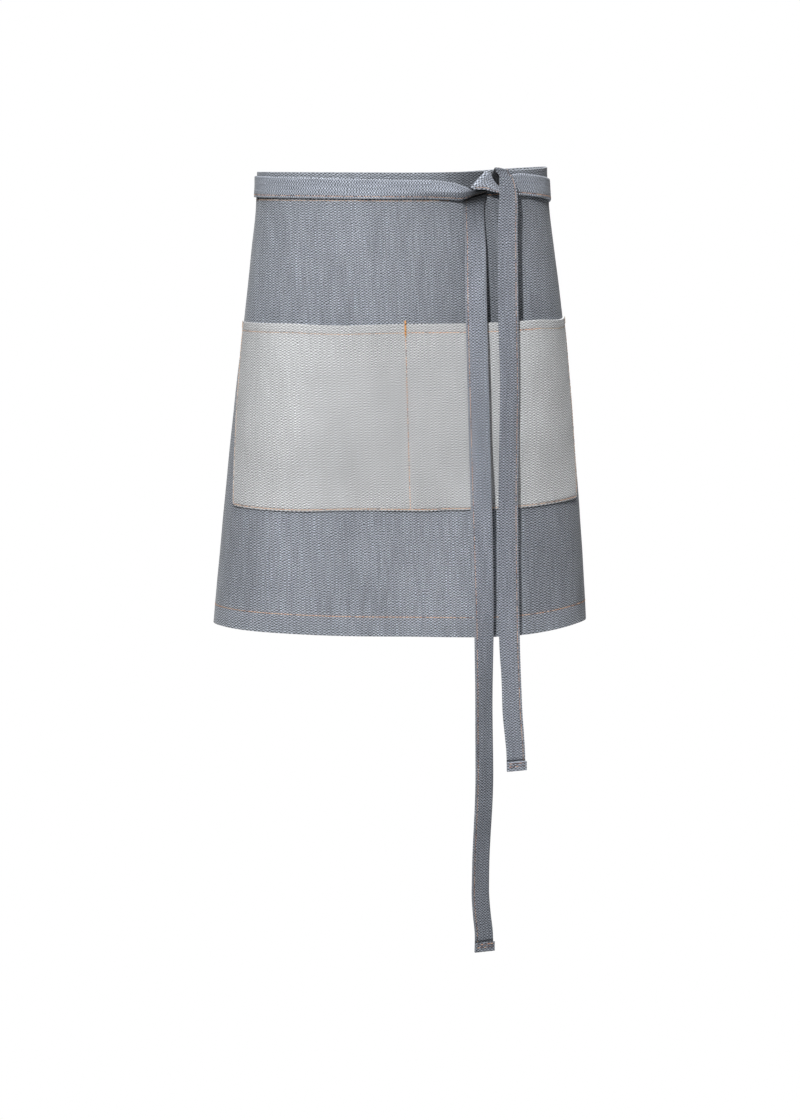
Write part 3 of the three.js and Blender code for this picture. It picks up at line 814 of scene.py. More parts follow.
def knot_run(rows):
    ax, az, bx, bz, a_layer, b_layer = np.array(rows).T
    return {"a": knot_point(ax, az, a_layer), "b": knot_point(bx, bz, b_layer)}


def fold_run(fold):
    start, end = fold["layers"]
    radius = abs(layer_out(start) - layer_out(end)) / 2
    turn = np.linspace(0, math.pi, FOLD_STEPS + 1)
    layer = start + (end - start) * (1 - np.cos(turn)) / 2
    move = [share * radius * np.sin(turn) for share in fold["away"]]
    return {edge: knot_point(*fold[edge], layer, move) for edge in ("a", "b")}


def entry_row(row, wraps):
    """Where a band enters the knot, as a row of its run round the waist."""
    ax, az, bx, bz, layer, _ = row
    height = KNOT_HEIGHT + (az + bz) / 2 * TIE_WIDTH
    angle = float(front_angle(KNOT_ACROSS + ax * TIE_WIDTH, height)) + wraps
    return (angle, layer, height / TIE_WIDTH, az - bz)


print("knot's middle:", knot_point(0, 0, 1).round(1))

# %% [markdown]
# ### The hanging ends
#
# Below the knot the ends hang plumb, but they rest on the pocket's bow on the way down. Taking
# the distance that each height needs and pulling a line tight over the highest of them gives
# the way a hanging ribbon really goes: straight between the places where it touches. The real
# ends also turn a little about their length, and that is read from a table.

# %% The ends
LONG_TAIL, SHORT_TAIL, TAIL_PITCH = 782.3, 596.4, 20.0
# The ends keep some air to the cloth behind them, and less of it further down
AIR_LOW, AIR_HIGH, LOW_FROM, HIGH_FROM = 0.3, 2.0, -330, -250
# (share of the end's length, middle in tie widths from the knot's, degrees of turn)
LONG_TAIL_ROWS = [
    (0.04, -1.12, 18), (0.08, -1.05, 12), (0.15, -1.02, 4), (0.26, -0.92, -5),
    (0.4, -0.78, 4), (0.48, -0.7, 13), (0.59, -0.63, 28), (0.67, -0.63, 37),
    (0.77, -0.6, 34), (0.89, -0.76, 37), (0.93, -0.77, 35), (0.975, -0.61, 32),
    (1.0, -0.6, 28),
]
SHORT_TAIL_ROWS = [
    (0.05, 0.44, 24), (0.19, 0.45, 18), (0.34, 0.53, 26), (0.53, 0.48, 24),
    (0.77, 0.55, 15), (0.84, 0.64, 24), (0.91, 0.72, 22), (0.96, 0.85, 29),
    (1.0, 0.88, 29),
]


def pocket_under(across, down):
    """Distance from the form to the outer face of what lies at this place, the pocket or none."""
    fall = down - POCKET_DROP
    near = (fall > -CLOTH) & (fall < POCKET_HEIGHT + CLOTH) & (np.abs(across) < HALF_POCKET)
    face = CLOTH_GAP + 2 * CLOTH + pocket_bow(across, np.clip(fall, 0, POCKET_HEIGHT))
    return np.where(near, face, 0)


def rest_forward(x, z, turn):
    """Distance towards -Y that a band's middle needs to clear what lies behind it."""
    share = np.linspace(-0.5, 0.5, 5)
    angle = front_angle(x + share * TIE_WIDTH * np.cos(turn), np.full(5, z))
    arc = arc_at_angle(angle, z)
    down = (EDGE_ABOVE_TIES + lift_at(arc) - z) / PLUMB
    face = pocket_under(arc - CENTRE_SHIFT - GRAIN_LEAN * down, down)
    surface = around(angle, z)[:, 1]
    lean = np.abs(around(angle, z, 1.0)[:, 1] - surface)
    air = AIR_LOW + (AIR_HIGH - AIR_LOW) * ramp(z, LOW_FROM, HIGH_FROM)
    stand = (face + CLOTH_GAP) / lean + TIE_THICKNESS / 2 / np.cos(turn) + CLOTH_GAP + air
    return float(np.max(-surface + stand + share * TIE_WIDTH * np.sin(turn)))


def taut_over(heights, needs):
    """The line pulled tight over `needs`, plumb below the foremost of them."""
    held = np.array([*needs[:-1], max(needs)])
    forward = held.copy()
    for i, z in enumerate(heights):
        for j in range(i + 1):
            for k in range(max(i, j + 1), len(heights)):
                share = (z - heights[j]) / (heights[k] - heights[j])
                forward[i] = max(forward[i], held[j] + (held[k] - held[j]) * share)
    return forward


def tail_run(rows, length, knot):
    """The hanging end below the knot's last station, down to its tip."""
    shares, over, turns = (np.array(column, float) for column in zip(*rows))
    top = (knot["a"][-1] + knot["b"][-1]) / 2
    tip = KNOT_HEIGHT - length
    heights = np.linspace(top[2], tip, math.ceil((top[2] - tip) / TAIL_PITCH) + 1)
    down = (KNOT_HEIGHT - heights) / length
    x = KNOT_ACROSS + read_table(shares, over, down) * TIE_WIDTH
    turn = np.radians(read_table(shares, turns, down))
    needs = [rest_forward(*place) for place in zip(x, heights, turn)]
    needs[0] = -top[1]
    forward = taut_over(heights, needs)
    aside = TIE_WIDTH / 2 * np.stack([np.cos(turn), np.sin(turn), np.zeros(len(turn))], axis=1)
    middle = np.stack([x, -forward, heights], axis=1)
    if knot["a"][-1][0] > knot["b"][-1][0]:
        aside = -aside
    return {"a": (middle - aside)[1:], "b": (middle + aside)[1:]}


print("a line pulled tight:", taut_over([0.0, -1.0, -2.0], [1.0, 0.0, 3.0]))

# %% Both ties from end to end
short_knot = joined(knot_run(SHORT_ENTRY), fold_run(SHORT_FOLD), knot_run(SHORT_EXIT))
short_round = waist_run([
    (right_root, 1, 0, 1),
    (right_edge, 1, 0, 1),
    (math.pi, 2.1, 0.03, 1),
    (ROUND + left_root, 2.1, 0, 1),
    (ROUND - 1.3 * SIDE, 1, 0, 1),
    (ROUND - SIDE, 1, 0, 1),
    entry_row(SHORT_ENTRY[0], ROUND),
])
short_tail = tail_run(SHORT_TAIL_ROWS, SHORT_TAIL, short_knot)
short_tie_stations = joined(short_round, short_knot, short_tail)

long_knot = joined(knot_run(LONG_ENTRY), fold_run(LONG_FOLD), knot_run(LONG_EXIT))
long_round = waist_run([
    (left_root, 1, -0.3, 1),
    (left_edge, 1, -0.3, 1),
    (-math.pi, 1, -1.06, 1),
    (right_edge - ROUND, 1, -1.06, 1),
    (right_root - ROUND, 1, -1.06, 1),
    (SIDE - ROUND, 1, -0.17, 1),
    entry_row(LONG_ENTRY[0], -ROUND),
])
long_tail = tail_run(LONG_TAIL_ROWS, LONG_TAIL, long_knot)
long_tie_stations = joined(long_round, long_knot, long_tail)


def band_lengths(band):
    return lengths_along((band["a"] + band["b"]) / 2)


short_tie_length = float(band_lengths(short_tie_stations)[-1])
long_tie_length = float(band_lengths(long_tie_stations)[-1])
print(f"ties: {short_tie_length:.0f} mm and {long_tie_length:.0f} mm long")

# %% [markdown]
# ### From stations to cloth
#
# The stations are joined by smooth curves and cut finely along them. Round each place goes a
# profile that starts at the folded edge, has a groove where the stitching pulls, and ends at
# the other edge, where two folded edges meet with a thin slit between them. Where the knot
# squeezes the band, its cloth has to go somewhere, so the profile ripples into pleats.

# %% The band builder
BAND_PITCH = 1.6
STITCH_SHARE = 1 - 2.6 / TIE_WIDTH
PLEAT_HEIGHT, PLEATS, PLEAT_START, SQUEEZE = 0.5, 1.6, 0.15, 1.35
# Distance from edge a as a share of the width, and height as a share of half the thickness
FACE_PROFILE = [
    (0.0, 0.0), (0.012, 0.55), (0.036, 0.93), (0.075, 1.06), (0.15, 1.04), (0.25, 1.0),
    (0.35, 0.97), (0.45, 0.96), (0.55, 0.97), (0.65, 1.0), (0.75, 1.04), (0.82, 1.03),
    (0.862, 0.86), (0.882, 0.62), (0.902, 0.84), (0.93, 1.0), (0.965, 0.98), (0.988, 0.72),
    (1.0, 0.34),
]
SLIT = (0.975, 0.0)


def cut_band(band):
    """Smooth stations, close together, with the band's directions at each of them."""
    places = band_lengths(band)
    count = round(places[-1] / BAND_PITCH)
    at = np.linspace(0, places[-1], count + 1)
    a, b = through(places, band["a"], at), through(places, band["b"], at)
    facing = unit(np.cross(b - a, np.gradient((a + b) / 2, axis=0)))
    thick = np.full(len(at), TIE_THICKNESS)
    return {"a": a, "b": b, "thick": thick, "facing": facing, "at": at, "marks": places}


def band_point(cut, share, height):
    """Points of the band at a share of its width and a height over its middle."""
    return cut["a"] + (cut["b"] - cut["a"]) * share + cut["facing"] * height[:, None]


def pleats(cut, share):
    """Ripples of the cloth where the knot squeezes the band."""
    width = np.linalg.norm(cut["b"] - cut["a"], axis=1)
    squeezed = np.clip(SQUEEZE * (1 - width / TIE_WIDTH), 0, 1)
    return PLEAT_HEIGHT * squeezed * np.sin(2 * math.pi * (PLEATS * share + PLEAT_START))


print("points round the band:", 2 * len(FACE_PROFILE))

# %% [markdown]
# The same denim changes its tone along a tie, and that tone is painted light and shade. Where
# the band lies across, its yarns catch the light from above. Where it hangs they catch less of
# it, and where it dives into the knot or folds under itself hardly any. Lamps can't be made as
# narrow as that without showing elsewhere, so this light and shade is painted into an attribute,
# the tone, read from tables that go along the band.

# %% Tones along the ties
# (station of the knot, painted tone), then (share of the hanging end, painted tone)
SHORT_KNOT_PAINTED_SHADING = [
    (0, 1.1), (4, 1.05), (5, 0.6), (6, 0.25), (8, 0.08), (12, 0.1), (13.2, 0.76), (14.5, 0.4),
    (16.5, 0.8),
]
SHORT_TAIL_PAINTED_SHADING = [(0.08, 0.81), (0.3, 0.82), (0.6, 0.86), (0.8, 0.93), (1.0, 0.93)]
LONG_KNOT_PAINTED_SHADING = [
    (0, 1.3), (2, 1.2), (4, 1.04), (8, 1.06), (9.5, 0.35), (10.5, 0.05), (14.4, 0.04), (15.2, 0.42),
]
LONG_TAIL_PAINTED_SHADING = [
    (0.05, 0.84), (0.25, 0.84), (0.45, 0.88), (0.6, 0.78), (0.68, 0.72), (0.85, 0.6), (1.0, 0.6),
]
TAIL_STATION = 16
TIP_FOLD, CREASE_REACH, CREASE_SHADE = 10.0, 0.9, 0.8


def station_places(cut, round_run, stations):
    """Lengths along a tie of stations that are counted from the start of its knot."""
    marks = cut["marks"]
    return np.interp(np.add(stations, len(round_run["a"])), np.arange(len(marks)), marks)


def painted_tie_shading(cut, round_run, knot_tones, tail_tones):
    """The painted tone at each place along a tie, with a painted shadow at the crease above its
    tip.
    """
    last = cut["marks"][-1]
    knot_stations, _ = zip(*knot_tones)
    start = station_places(cut, round_run, TAIL_STATION)
    places = [*station_places(cut, round_run, knot_stations)]
    places += [start + share * (last - start) for share, _ in tail_tones]
    tones = [tone for _, tone in (*knot_tones, *tail_tones)]
    from_crease = cut["at"] - last + TIP_FOLD + CREASE_REACH
    crease = np.exp(-((from_crease / CREASE_REACH) ** 2))
    return read_table(places, tones, cut["at"]) * (1 - CREASE_SHADE * crease)


# Painted shade where the short tie faces down under the soft fold: (station, share of the width,
# shade)
SHORT_PAINTED_UNDER = [
    (-6, 0.62, 0.0), (-3, 0.62, 0.25), (0, 0.58, 0.4), (2, 0.5, 0.5),
    (3, 0.42, 0.62), (4, 0.33, 0.72), (6, 0.1, 0.8), (9, 0.1, 0.0),
]


def painted_under_fold(cut, round_run, rows):
    """Where the painted shade of a lengthwise fold starts across the band, and how dark it is."""
    stations, starts, shades = zip(*rows)
    places = station_places(cut, round_run, stations)
    return np.interp(cut["at"], places, starts), np.interp(cut["at"], places, shades, 0, 0)


short_cut, long_cut = cut_band(short_tie_stations), cut_band(long_tie_stations)
short_painted_shading = painted_tie_shading(short_cut, short_round, SHORT_KNOT_PAINTED_SHADING, SHORT_TAIL_PAINTED_SHADING)
long_painted_shading = painted_tie_shading(long_cut, long_round, LONG_KNOT_PAINTED_SHADING, LONG_TAIL_PAINTED_SHADING)
short_painted_under = painted_under_fold(short_cut, short_round, SHORT_PAINTED_UNDER)
print("darkest tones in the knot:", short_painted_shading.min().round(2), long_painted_shading.min().round(2))

# %% The ties' meshes
RUBBED_RIM, RIM_REACH, RUBBED_LIP = 0.65, 0.55, 0.12
FOLDED_SHADE, FOLDED_REACH, UNDER_SPAN = 0.22, 0.8, 0.12
FLUTTER, FLUTTER_LENGTH, FLUTTER_LEAN = 0.12, 5.3, 4.0
BACK_SHIFT = 60.0


def band_profile(cut, tone, under):
    """Points, places on the cloth, wear and painted tones of each line that runs along a band."""
    at = cut["at"]
    start, shade = under
    back = [(share, -height) for share, height in FACE_PROFILE[:0:-1]]
    for n, (share, height) in enumerate((*FACE_PROFILE, SLIT, *back)):
        lie = height * cut["thick"] / 2 + pleats(cut, share)
        wave = FLUTTER * np.sin(at / FLUTTER_LENGTH + FLUTTER_LEAN * share)
        points = band_point(cut, share, lie + wave * math.sin(math.pi * share))
        across = share * TIE_WIDTH + (BACK_SHIFT if n >= len(FACE_PROFILE) else 0.0)
        place = np.stack([np.full(len(at), across), at, np.zeros(len(at))], axis=1)
        rim = RUBBED_RIM * math.exp(-min(share, 1 - share) * TIE_WIDTH / RIM_REACH)
        wear = np.full(len(at), rim + (RUBBED_LIP if share > STITCH_SHARE else 0.0))
        # Painted shade along edge a dims the light that its folded rim catches, and the painted
        # shade under a fold darkens the band past its start
        folded = 1 - FOLDED_SHADE * math.exp(-share * TIE_WIDTH / FOLDED_REACH)
        tones = tone * folded * (1 - shade * ramp(share, start, start + UNDER_SPAN))
        yield points, place, wear, np.broadcast_to(tones, len(at))


def band_piece(name, cut, tone, under=(0.5, 0.0)):
    """The band's mesh, with both of its ends closed."""
    lines_along = zip(*band_profile(cut, tone, under))
    points, place, wear, tones = (np.stack(values, axis=1) for values in lines_along)
    many, wide = wear.shape
    ring = np.arange(many - 1)[:, None] * wide + np.arange(wide)
    following = np.roll(ring, -1, axis=1)
    quads = np.stack([ring, following, following + wide, ring + wide], axis=2)
    ends = [[*range(wide - 1, -1, -1)], [*range((many - 1) * wide, many * wide)]]
    faces = [*quads.reshape(-1, 4).tolist(), *ends]
    print(f"{name}: {len(faces)} faces")
    flat = (points.reshape(-1, 3), faces, place.reshape(-1, 3), wear.ravel(), tones.ravel())
    return turned_outwards(new_piece(name, *flat))


short_end_tie = band_piece("short_end_tie_cloth", short_cut, short_painted_shading, short_painted_under)
long_end_tie = band_piece("long_end_tie_cloth", long_cut, long_painted_shading)

# %% [markdown]
# ### The folded tips
#
# Each end is folded back on itself to hide its raw edge and stitched down with two rows. The
# fold is a short second layer on the front of the band, a little wider than it, and its upper
# edge stands off and throws the thin dark line that the eye reads as a fold; a painted shadow on
# the band just above it darkens that line further. The fold takes the painted tone of its end's
# tip, a little lighter.

# %% The tips
TIP_LAYER, TIP_WIDTH, TIP_PAINTED_TONE = 1.5, 23.4, 1.12
TIP_AIR, TIP_LIFT, LIFT_REACH = 0.05, 0.5, 1.4


def tip_cut(cut):
    """The last stretch of a band, moved forward by the fold's layer and made a little wider."""
    last = cut["at"][-1]
    here = cut["at"] >= last - TIP_FOLD
    part = {key: cut[key][here] for key in ("a", "b", "facing", "at")}
    front = np.sign(-part["facing"][-1][1])
    lifted = np.exp(-(part["at"] - part["at"][0]) / LIFT_REACH)
    stand = TIE_THICKNESS / 2 + TIP_LAYER / 2 + TIP_AIR + TIP_LIFT * lifted
    centre = (part["a"] + part["b"]) / 2
    for edge in ("a", "b"):
        part[edge] = centre + (part[edge] - centre) * TIP_WIDTH / TIE_WIDTH
        part[edge] = part[edge] + part["facing"] * (front * stand)[:, None]
    return part | {"thick": np.full(here.sum(), TIP_LAYER), "front": front}


short_tip_cut, long_tip_cut = tip_cut(short_cut), tip_cut(long_cut)
tips = [
    band_piece(name, cut, TIP_PAINTED_TONE * tail_tones[-1][1])
    for name, cut, tail_tones in (
        ("short_end_tip_fold", short_tip_cut, SHORT_TAIL_PAINTED_SHADING),
        ("long_end_tip_fold", long_tip_cut, LONG_TAIL_PAINTED_SHADING),
    )
]

# %% [markdown]
# ## The stitching
#
# A row of stitches is a line of small thread beads that dip into the cloth at both ends. A bump
# in a texture would do from far away, but real beads catch the light and keep their colour from
# every side. One bead is made as a template, and numpy copies it to every place of a seam at
# once, which is much faster than making thousands of objects.

# %% One stitch, many times
# Length, the gap to the next stitch, and how thick the thread is
CLOTH_STITCH, TIE_STITCH = (2.9, 0.55, 0.36), (1.75, 0.35, 0.38)
STITCH_ARCH = 0.32
# The rings of a bead: (place along it, girth)
BEAD_SIDES, BEAD_RINGS = 6, [(-0.44, 0.62), (-0.22, 0.95), (0.0, 1.0), (0.22, 0.95), (0.44, 0.62)]


def bead_template():
    """A rounded bead from -0.5 to 0.5 along x, as (along, aside, up) rows and its faces."""
    turns = [2 * math.pi * side / BEAD_SIDES for side in range(BEAD_SIDES)]
    rows = [
        (place, girth * math.cos(turn), girth * math.sin(turn))
        for place, girth in BEAD_RINGS
        for turn in turns
    ]
    rows = [(-0.5, 0.0, 0.0), *rows, (0.5, 0.0, 0.0)]
    tip, last = len(rows) - 1, len(rows) - 1 - BEAD_SIDES
    beside = [(s, (s + 1) % BEAD_SIDES) for s in range(BEAD_SIDES)]
    faces = [(0, 1 + following, 1 + s) for s, following in beside]
    for low in range(1, last, BEAD_SIDES):
        high = low + BEAD_SIDES
        faces += [(low + s, low + following, high + following, high + s) for s, following in beside]
    faces += [(tip, last + s, last + following) for s, following in beside]
    return np.array(rows), faces


BEAD_ROWS, BEAD_FACES = bead_template()
# Each stitch gets a place of its own on the cloth, this far from the one before
STITCH_SHIFT = 3.7


def beads(starts, ends, up, thread, arch=STITCH_ARCH):
    """Bead points for stitches from starts to ends, lying on a surface that faces `up`."""
    along = ends - starts
    length = np.linalg.norm(along, axis=1)[:, None, None]
    ahead = unit(along)
    aside = unit(np.cross(up, ahead))
    raised = unit(np.cross(ahead, aside))
    place, side, height = (BEAD_ROWS[:, n][None, :, None] for n in range(3))
    bowed = arch * (1 - (2 * place) ** 2) - 0.5 * arch
    centre = ((starts + ends) / 2)[:, None, :]
    return (
        centre
        + ahead[:, None, :] * place * length
        + aside[:, None, :] * side * thread
        + raised[:, None, :] * (height * thread + bowed)
    )


def seam_beads(path, up, stitch=CLOTH_STITCH):
    """Beads along a path of points, each point with the direction that its surface faces."""
    length, gap, thread = stitch
    places = lengths_along(path)
    count = max(1, int(places[-1] // (length + gap)))
    pitch = places[-1] / count
    begin = np.arange(count) * pitch + gap / 2
    finish = begin + pitch - gap

    def at(where, values):
        return np.stack([np.interp(where, places, values[:, n]) for n in range(3)], axis=1)

    return beads(at(begin, path), at(finish, path), unit(at((begin + finish) / 2, up)), thread)


def thread_piece(name, groups, faded=(), toned=()):
    """One mesh of all the beads of a piece's seams, some of them faded or with painted shade."""
    points = np.concatenate(groups)
    many, size = points.shape[:2]

    def for_each_point(values, others):
        values = (*values, *[others] * len(groups))
        stitches = [np.resize(value, len(group)) for group, value in zip(groups, values)]
        return np.repeat(np.concatenate(stitches), size)

    faces = [tuple(n * size + i for i in face) for n in range(many) for face in BEAD_FACES]
    number = np.repeat(np.arange(many), size)
    along = np.tile(BEAD_ROWS[:, 0] * CLOTH_STITCH[0], many)
    place = np.stack([number * STITCH_SHIFT, along, np.zeros(many * size)], axis=1)
    print(f"{name}: {many} stitches, {sum(len(face) - 2 for face in BEAD_FACES) * many} triangles")
    fade, tone = for_each_point(faded, 0.0), for_each_point(toned, 1.0)
    return new_piece(name, points.reshape(-1, 3), faces, place, fade, tone)


print("points of a stitch:", len(BEAD_ROWS))

# %% [markdown]
# A seam on the panel or the pocket is a line on the cloth, so its path comes from the same
# function as the cloth itself, and the direction that the surface faces is found by moving
# that function a little outwards.

# %% Seams of the panel and the pocket
PATH_STEP, THREAD_LIE, INNER_LIE, DIVIDER_LEAN = 1.5, 0.16, 0.1, 0.9


def outward(across, down):
    """The direction that the hanging cloth faces."""
    return unit(cloth_point(across, down, 5.0) - cloth_point(across, down, 0.0))


def cloth_seam(point_at, across, down, raised=THREAD_LIE, face=1.0):
    """Beads along a line on a sheet, on its outer face, or on its inner one if face is -1."""
    steps = max(2, int(np.hypot(across[1] - across[0], down[1] - down[0]) / PATH_STEP))
    along = np.linspace(*across, steps), np.linspace(*down, steps)
    return seam_beads(point_at(*along, raised), outward(*along) * face)


PULLED_LINE, PANEL_END = TOP_LINE - KNOT_PULL, HALF_PANEL - 1
# Where the bottom hem's stitches with painted shade end, and where the mouth's rubbed ones begin
SHADED_TO, RUBBED_FROM = -176, 138
panel_lines = [
    ((-PANEL_END, PULL_FROM), (TOP_LINE, TOP_LINE)),
    ((PULL_FROM, PULL_TO), (TOP_LINE, PULLED_LINE)),
    ((PULL_TO, PANEL_END), (PULLED_LINE, PULLED_LINE)),
    ((-PANEL_END, SHADED_TO), (BOTTOM_LINE, BOTTOM_LINE)),
    ((SHADED_TO, PANEL_END), (BOTTOM_LINE, BOTTOM_LINE)),
    ((-SIDE_LINE, -SIDE_LINE), (TOP_LINE, BOTTOM_LINE)),
    ((SIDE_LINE, SIDE_LINE), (PULLED_LINE, BOTTOM_LINE)),
]
panel_groups = [
    cloth_seam(panel_outer, across, down, raised, face)
    for raised, face in ((THREAD_LIE, 1.0), (-2 * CLOTH - INNER_LIE, -1.0))
    for across, down in panel_lines
]
panel_stitching = thread_piece("panel_stitching", panel_groups, (0.35,), (1.0, 1.0, 1.0, 0.68))

pocket_lines = [
    ((-EDGE_LINE - 1, -1), (MOUTH_LINE, MOUTH_LINE)),
    ((1, RUBBED_FROM), (MOUTH_LINE, MOUTH_LINE)),
    ((RUBBED_FROM, EDGE_LINE + 1), (MOUTH_LINE, MOUTH_LINE)),
    ((-EDGE_LINE, -EDGE_LINE), (1, LOW_LINE)),
    ((EDGE_LINE, EDGE_LINE), (1, LOW_LINE)),
    ((-EDGE_LINE, EDGE_LINE), (LOW_LINE, LOW_LINE)),
    ((-DIVIDER_LEAN, 0), (12, LOW_LINE)),
]
pocket_groups = [cloth_seam(pocket_outer, across, fall) for across, fall in pocket_lines]
pocket_fades = (0.45, 0.0, 0.75, 0.45, 0.4, 0.1)
pocket_stitching = thread_piece("pocket_stitching", pocket_groups, pocket_fades)

# %% [markdown]
# A bar tack is a short, dense row of stitches across a seam that holds the places where a
# pocket would tear: the top of the middle seam and the two upper corners. Its threads lie side
# by side across the line.

# %% Bar tacks
TACK_THREAD, TACK_PITCH, TACK_LEAN, TACK_LIE, TACK_ARCH = 0.34, 0.62, 0.25, 0.35, 0.2
TACK_CORNER = HALF_POCKET - 1.6


def bar_tack(across, fall, length, width):
    """Threads side by side across a vertical line of the pocket."""
    falls = fall + np.arange(0, length, TACK_PITCH)
    middle = np.full(len(falls), across)
    lean = TACK_LEAN * np.where(np.arange(len(falls)) % 2, 1, -1)
    out = pocket_out(middle, np.maximum(falls, 0.5)) + TACK_LIE
    down = pocket_down(middle, falls)
    starts = cloth_point(middle - width / 2, down - lean, out)
    ends = cloth_point(middle + width / 2, down + lean, out)
    return beads(starts, ends, outward(middle, down), TACK_THREAD, TACK_ARCH)


tacks = [
    bar_tack(-DIVIDER_LEAN, -3.0, 15.0, 2.2),
    bar_tack(-TACK_CORNER, -0.6, 6.5, 2.0),
    bar_tack(TACK_CORNER, -0.6, 6.5, 2.0),
]
bar_tacks = thread_piece("pocket_bar_tacks", tacks, (0.0, 0.7, 0.85))

# %% [markdown]
# The ties are stitched along one edge only, and the stitches show on both of their faces. At
# the panel's back corners each tie is sewn down with four rows across it, two at each end of
# the stretch that lies on the panel.

# %% Seams of the ties
GROOVE_SHARE, GROOVE_LIE, THREAD_SHEEN = 0.62, 0.1, 1.1
ROW_SHARES = np.linspace(0.08, 0.92, 12)
# How far from a tie's sewn end, and from the upper edge of its folded tip, the rows lie
CORNER_ROWS, TIP_ROWS = (2.5, 5.0, 20.5, 23.0), (2.0, 4.2)


def tie_seam(cut, share, face):
    """Beads along a band at a share of its width, on one of its two faces."""
    here = (cut["at"] >= 1) & (cut["at"] <= cut["at"][-1] - 1)
    part = {key: cut[key][here] for key in ("a", "b", "thick", "facing")}
    lie = face * (GROOVE_SHARE * part["thick"] / 2 + GROOVE_LIE) + pleats(part, share)
    return seam_beads(band_point(part, share, lie), part["facing"] * face, TIE_STITCH)


def row_across(cut, at, face, thick):
    """A row of beads from edge to edge of a band."""
    n = int(np.argmin(np.abs(cut["at"] - at)))
    a, b, facing = cut["a"][n], cut["b"][n], cut["facing"][n] * face
    path = a + (b - a) * ROW_SHARES[:, None] + facing * (thick / 2 + THREAD_LIE)
    return seam_beads(path, np.tile(facing, (len(ROW_SHARES), 1)))


def outward_face(cut):
    """1 if the band's facing direction looks outwards near its sewn end, else -1."""
    facing, a, b = (cut[key][3][:2] for key in ("facing", "a", "b"))
    return float(np.sign(facing @ (a + b)))


def stitch_tones(group, cut, tone):
    """The painted tone of the tie beside each stitch of a seam along it, painted a little brighter.
    """
    places = (np.arange(len(group)) + 0.5) / len(group) * cut["at"][-1]
    return np.minimum(np.interp(places, cut["at"], tone) * THREAD_SHEEN, 1.0)


tie_stitching = []
# The short tie's stitches also take its painted shade under the fold
for name, cut, tip, tone in (
    ("short", short_cut, short_tip_cut, short_painted_shading * (1 - short_painted_under[1])),
    ("long", long_cut, long_tip_cut, long_painted_shading),
):
    groups = [tie_seam(cut, STITCH_SHARE, face) for face in (1.0, -1.0)]
    shaded = [stitch_tones(group, cut, tone) for group in groups]
    groups += [row_across(cut, at, outward_face(cut), TIE_THICKNESS) for at in CORNER_ROWS]
    groups += [row_across(tip, tip["at"][0] + at, tip["front"], TIP_LAYER) for at in TIP_ROWS]
    tie_stitching.append(thread_piece(f"{name}_end_tie_stitching", groups, toned=shaded))

# %% [markdown]
# ## Denim, drawn yarn by yarn
#
# Denim is a twill: each dark lengthwise yarn, the warp, passes over three pale crosswise yarns,
# the weft, and under one, and each neighbour does the same one step further, so slanting lines
# appear. The face shows mostly dark warp and the reverse mostly pale weft, which is why the
# pocket, the same cloth turned over, is so much paler. One material recipe makes both sides: it
# counts the yarns from the `cloth` attribute, finds out which yarn is on top, and colours it.
#
# Real yarn is uneven, thick and thin in turn, and a photograph sees that as pale flecks and
# long, faint streaks. An image texture could hold them, but it would blur close up. Noise that
# is stretched along the yarns gives the same look at any distance.

